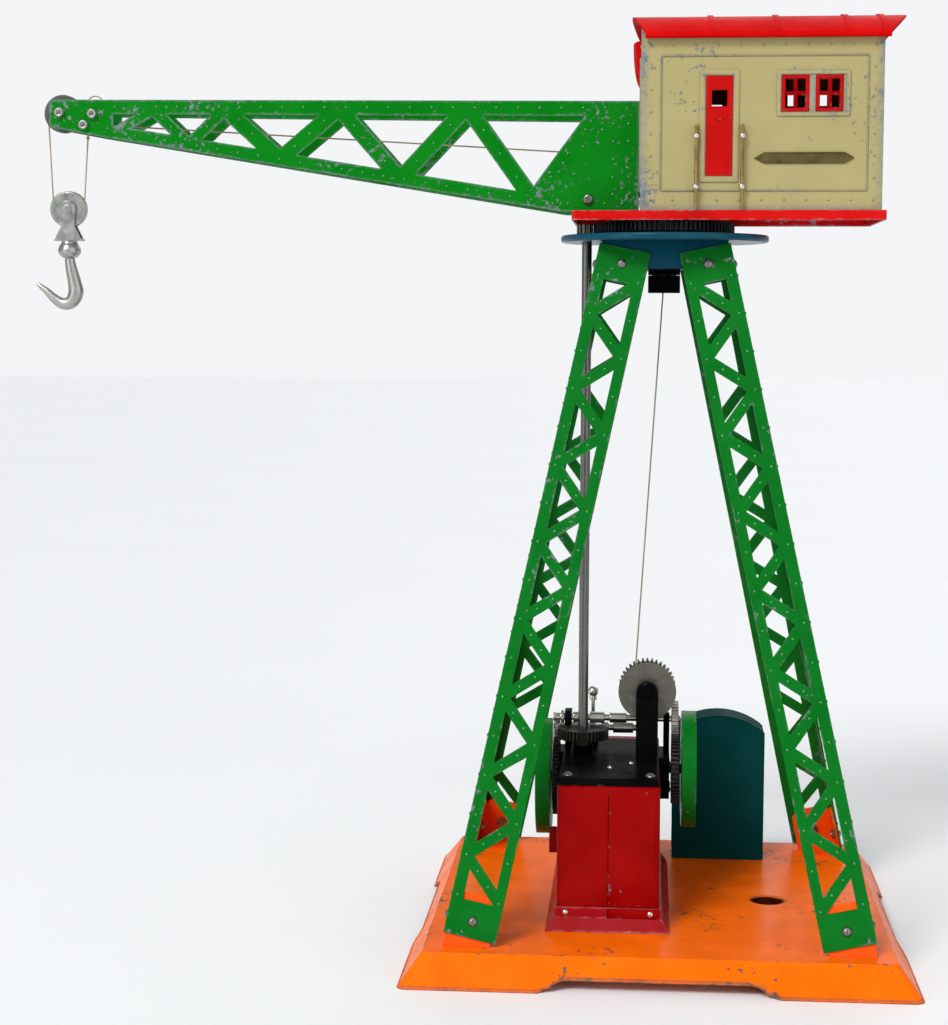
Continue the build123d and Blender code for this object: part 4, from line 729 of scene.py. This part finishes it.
def housing_details():
    """The laps of the housing and its skirt at both ends, black bars of painted shadow along their seams, and the
    skirt's rivets.
    """
    middle = sum(HOUSING_X) / 2
    laps, lines, rivets = Piece(), Piece(), Piece()
    for side, y in zip((-1, 1), HOUSING_Y):
        def place(x, z, height):
            return Vector((x, y + side * height, z))

        for rect, profile in (
            (((middle, HOUSING_X[1] - 2.2), HOUSING_LAP_Z), ((0.0, -0.2), (0.0, 0.22), (0.3, 0.34))),
            (((middle, HOUSING_X[1] + 0.4), SKIRT_LAP_Z), ((0.0, 0.8), (0.0, 1.2), (0.25, 1.34))),
        ):
            lap(laps, rect, profile, place)
        # Black bars along the lap seams: painted shadow under the laps' edges.
        for height, span in ((0.12, HOUSING_LAP_Z), (1.12, (22.0, 27.0))):
            tube(lines, [place(middle, z, height) for z in span], 0.24, sides=6)
        skirt = y + side
        for x, proud in ((middle - 21.5, 0.0), (middle + 21.5, 0.34)):
            dome(rivets, (x, skirt + side * proud, 24.4), (0, side, 0), HOUSING_RIVET, sides=20)
    laps.make("housing_laps", "tower", RED, sharp=30)
    lines.make("housing_seam_painted_shadows", "tower", BLACK)
    rivets.make("housing_rivets", "tower", NICKEL)


def frame_details():
    """Screws on the gear frame, and the drum axle's rounded cap."""
    piece = Piece()
    for y, z, r in ((-7.5, 88.0, 2.0), (5.0, 74.5, 2.0), (-7.5, 74.5, 1.8)):
        dome(piece, (5.6, y, z), (1, 0, 0), (r, 0.75), sides=16)
    for x, y in ((-14.5, -30.0), (-25.5, -42.0)):
        dome(piece, (x, y, 93.0), (0, 0, 1), (1.5, 1.0), sides=16)
    piece.make("frame_small_screws", "tower", NICKEL)
    cap = Piece()
    profile = ((0.0, 2.6), (-1.0, 2.6), (-1.8, 2.2), (-2.4, 1.4), (-2.6, 0.2))
    lathe(cap, profile, (DRUM_X, -15.5, DRUM_Z), (0, 1, 0), 28)
    cap.make("axle_cap", "drum", BLACK)


def shaft_collars():
    """Turned collars and coupling sleeves on the two cross shafts, as (middle, radius, half length)."""
    bore, bevel = 1.6, 0.3
    for name, body, axis, collars in (
        ("hoist_shaft_collars", "hoist_drive", HOIST_SHAFT,
         ((-56.3, 2.4, 0.7), (-44.3, 2.9, 2.0), (-33.3, 3.1, 4.0), (-22.0, 2.8, 4.6))),
        ("slew_shaft_collars", "slewing_drive", SLEW_SHAFT, ((-29.2, 3.0, 2.0), (-19.3, 3.0, 5.5))),
    ):
        piece = Piece()
        for x, r, half in collars:
            profile = ((-half, bore), (-half, r - bevel), (-half + bevel, r),
                       (half - bevel, r), (half, r - bevel), (half, bore))
            lathe(piece, profile, (x, *axis), (1, 0, 0), 32)
        piece.make(name, body, NICKEL)


def drum_windings():
    """The cord's turns on the drum."""
    (low, high), pitch, core = (-6.7, 5.6), 0.86, 4.4
    turns = int((high - low) / pitch)
    profile = [(low - 0.1, core)]
    for turn in range(turns):
        for angle in (pi * step / 4 for step in range(5)):
            profile.append((low + pitch * (turn + 0.5) - pitch / 2 * cos(angle), 5.9 + 0.45 * sin(angle)))
    profile.append((low + pitch * turns + 0.1, core))
    piece = Piece()
    lathe(piece, profile, (DRUM_X, 0, DRUM_Z), (0, 1, 0), 40)
    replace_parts(piece.make("drum_windings", "drum", CORD, sharp=80), "drum_cord")


def control_box_trim():
    """The two raised seams over the control box's arched top."""
    half, rise = (BOX_X[1] - BOX_X[0]) / 2, BOX_PEAK_Z - BOX_SHOULDER_Z
    r = (half**2 + rise**2) / (2 * rise)
    middle, centre_z = sum(BOX_X) / 2, BOX_PEAK_Z - r
    start = atan2(BOX_SHOULDER_Z - centre_z, half)
    line_r, steps = r - 0.1, 24
    arc = [start + (pi - 2 * start) * i / steps for i in range(steps + 1)]
    piece = Piece()
    for y in BOX_SEAMS_Y:
        right, left = (BOX_X[1] - 0.1, y, BOX_SEAM_FOOT_Z), (BOX_X[0] + 0.1, y, BOX_SEAM_FOOT_Z)
        over = [(middle + line_r * cos(a), y, centre_z + line_r * sin(a)) for a in arc]
        tube(piece, [right, *over, left], 0.45)
    piece.make("control_box_seams", "tower", BOX_TEAL)


# ---- cord ----


def fall(name, node, top, low):
    """One fall of the cord, a straight round bar from its top down to its low end."""
    top, low = Vector(top), Vector(low)
    steps = 60
    piece = Piece()
    tube(piece, [top.lerp(low, i / steps) for i in range(steps + 1)], CORD_R, sides=10)
    made = piece.build(name, CORD, sharp=80)
    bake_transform(made)
    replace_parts(made, node)


def cord_falls():
    fall("fall_from_sheave", "cord_fall_sheave", (-328.5, 0, 431.4), (-326.4, 0, SHEAVE_Z + 0.3))
    fall("fall_from_pin", "cord_fall_anchor", (-306.9, 0, 423.8), (-309.8, 0, SHEAVE_Z + 0.3))


def cord_knot():
    """The loop round the lowest tip pin, its knot below, and the end tied in a bow over the upper pin."""
    x, z = TIP_PINS[2]
    knot = Piece()
    loop = [(x + 1.86 * cos(a), 0.2 * sin(a), z + 1.86 * sin(a)) for a in circle(24)]
    tube(knot, loop, 0.32, closed=True)
    ball = ((-0.9, 0.3), (-0.7, 0.75), (0.0, 0.95), (0.7, 0.75), (0.9, 0.3))
    lathe(knot, ball, (-307.2, 0, 419.4), (0, 0, 1), 16)
    bow = [(TIP_PINS[1][0] - 4.3 * cos(a), -3.1, 436.6 + 4.6 * sin(a)) for a in (pi * i / 20 for i in range(21))]
    tube(knot, [(-306.7, -2.9, 427.9), (-306.6, -3.0, 432.0), *bow, (-298.0, -3.1, 433.0), (-298.8, -3.0, 429.0)],
         CORD_R * 0.8)
    knot.make("cord_knot", "superstructure", CORD, sharp=80)


# ---- hook ----


def catmull(points, steps):
    """A smooth line through points of any dimension."""
    points = [points[0], *points, points[-1]]
    line = []
    for i in range(1, len(points) - 2):
        for step in range(steps):
            t = step / steps
            row = []
            for a, b, c, d in zip(*points[i - 1:i + 3]):
                row.append(0.5 * (2 * b + (c - a) * t + (2 * a - 5 * b + 4 * c - d) * t**2
                                  + (3 * b - a - 3 * c + d) * t**3))
            line.append(tuple(row))
    return line + [points[-2]]


def forged_hook():
    """The tapered hook with its swivel ball, in place of the CAD's plain bar."""
    line = catmull(HOOK_LINE, 6)
    across = Vector((0, 1, 0))
    rings = []
    for i, (x, z, half) in enumerate(line):
        before, after = line[max(i - 1, 0)], line[min(i + 1, len(line) - 1)]
        heading = Vector((after[0] - before[0], 0, after[1] - before[1])).normalized()
        outward = heading.cross(across)
        rings.append([Vector((x, 0, z)) + across * cos(a) * half * HOOK_FLATNESS + outward * sin(a) * half
                      for a in circle(20)])
    piece = Piece()
    piece.rings(rings)
    lathe(piece, HOOK_BALL, (HOOK_X, 0, HOOK_BALL_Z), (0, 0, 1), 40)
    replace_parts(piece.make("forged_hook", "hook", DULL_NICKEL, sharp=60), "hook")


def sheave_rims():
    """The turned rim and hub rings on both faces of the block sheave."""
    piece = Piece()
    for side in (-1, 1):
        for r, bar in ((8.75, 0.5), (3.4, 0.4)):
            path = [(HOOK_X + r * cos(a), side * 1.75, SHEAVE_Z + r * sin(a)) for a in circle(40)]
            tube(piece, path, bar, sides=6, closed=True)
    piece.make("block_sheave_rims", "block_sheave", DULL_NICKEL)


# ---- studio ----

# Colour and strength of the sky: as a light, and as the camera sees it.
SKY_LIGHT, SKY_BACKDROP = ((0.95, 0.98, 1.0, 1.0), 0.42), ((0.97, 0.98, 1.0, 1.0), 0.93)
# Name, kind, place, power, and the angle of a sun or the width of an area light.
LAMPS = (
    ("key", "SUN", (-0.7, -1.3, 1.5), 2.3, radians(22)),
    ("fill", "SUN", (1.2, -1.4, 0.6), 0.6, radians(50)),
    ("back", "SUN", (0.6, 1.6, 1.2), 0.5, radians(50)),
    ("gloss", "AREA", (-1.3, -1.2, 0.7), 4.0, 0.7),
)
LAMPS_AIM = Vector((0, 0, 0.2))
# The camera that was fitted to the photo's straight edges.
LENS, SENSOR = 73.07, 36.0
CAMERA_PLACE, CAMERA_YAW, CAMERA_PITCH, CAMERA_ROLL = (-0.00933, -1.10384, 0.32478), 0.0818, -0.0935, 0.003


def studio_floor():
    bpy.ops.mesh.primitive_plane_add(size=14.0, location=(0, 3.0, 0))
    floor = bpy.context.object
    floor.name = "studio_floor"
    floor.data.materials.append(studio_grey("floor_matt", (0.90, 0.91, 0.92)))
    floor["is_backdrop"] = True


def studio_sky():
    world = bpy.data.worlds.new("studio_world")
    bpy.context.scene.world = world
    world.use_nodes = True
    tree = world.node_tree
    ambient, backdrop = tree.nodes["Background"], tree.nodes.new("ShaderNodeBackground")
    for node, values in ((ambient, SKY_LIGHT), (backdrop, SKY_BACKDROP)):
        node.inputs[0].default_value, node.inputs[1].default_value = values
    path, mix = tree.nodes.new("ShaderNodeLightPath"), tree.nodes.new("ShaderNodeMixShader")
    tree.links.new(path.outputs["Is Camera Ray"], mix.inputs[0])
    tree.links.new(ambient.outputs[0], mix.inputs[1])
    tree.links.new(backdrop.outputs[0], mix.inputs[2])
    tree.links.new(mix.outputs[0], tree.nodes["World Output"].inputs[0])


def studio_lamps():
    for name, kind, place, power, width in LAMPS:
        lamp = bpy.data.lights.new(name, kind)
        lamp.energy = power
        setattr(lamp, "angle" if kind == "SUN" else "size", width)
        holder = bpy.data.objects.new(name, lamp)
        bpy.context.scene.collection.objects.link(holder)
        holder.location = place
        holder.rotation_euler = (LAMPS_AIM - Vector(place)).to_track_quat("-Z", "Y").to_euler()


def camera():
    """At the height of the tower's head, a little to the left of the slewing axis."""
    lens = bpy.data.cameras.new("camera")
    lens.lens, lens.sensor_width = LENS, SENSOR
    lens.clip_start, lens.clip_end = 0.05, 50.0
    holder = bpy.data.objects.new("camera", lens)
    bpy.context.scene.collection.objects.link(holder)
    turn = Matrix.Rotation(CAMERA_YAW, 4, "Z") @ Matrix.Rotation(pi / 2 + CAMERA_PITCH, 4, "X")
    turn = turn @ Matrix.Rotation(CAMERA_ROLL, 4, "Z")
    holder.matrix_world = Matrix.Translation(CAMERA_PLACE) @ turn
    bpy.context.scene.camera = holder
    bpy.context.scene.view_settings.view_transform = "Standard"


paint_nodes()
leg_rivets()
base_edge()
cab_mouldings()
cab_rivets()
door_fittings()
plate_edges()
boom_rivets()
housing_details()
frame_details()
shaft_collars()
drum_windings()
control_box_trim()
tip_pin_heads()
cord_falls()
cord_knot()
forged_hook()
sheave_rims()
studio_floor()
studio_sky()
studio_lamps()
camera()

boxes = {"cad": CAD_BOX, "visual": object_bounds()}
{key: [list(corner) for corner in box] for key, box in boxes.items()}
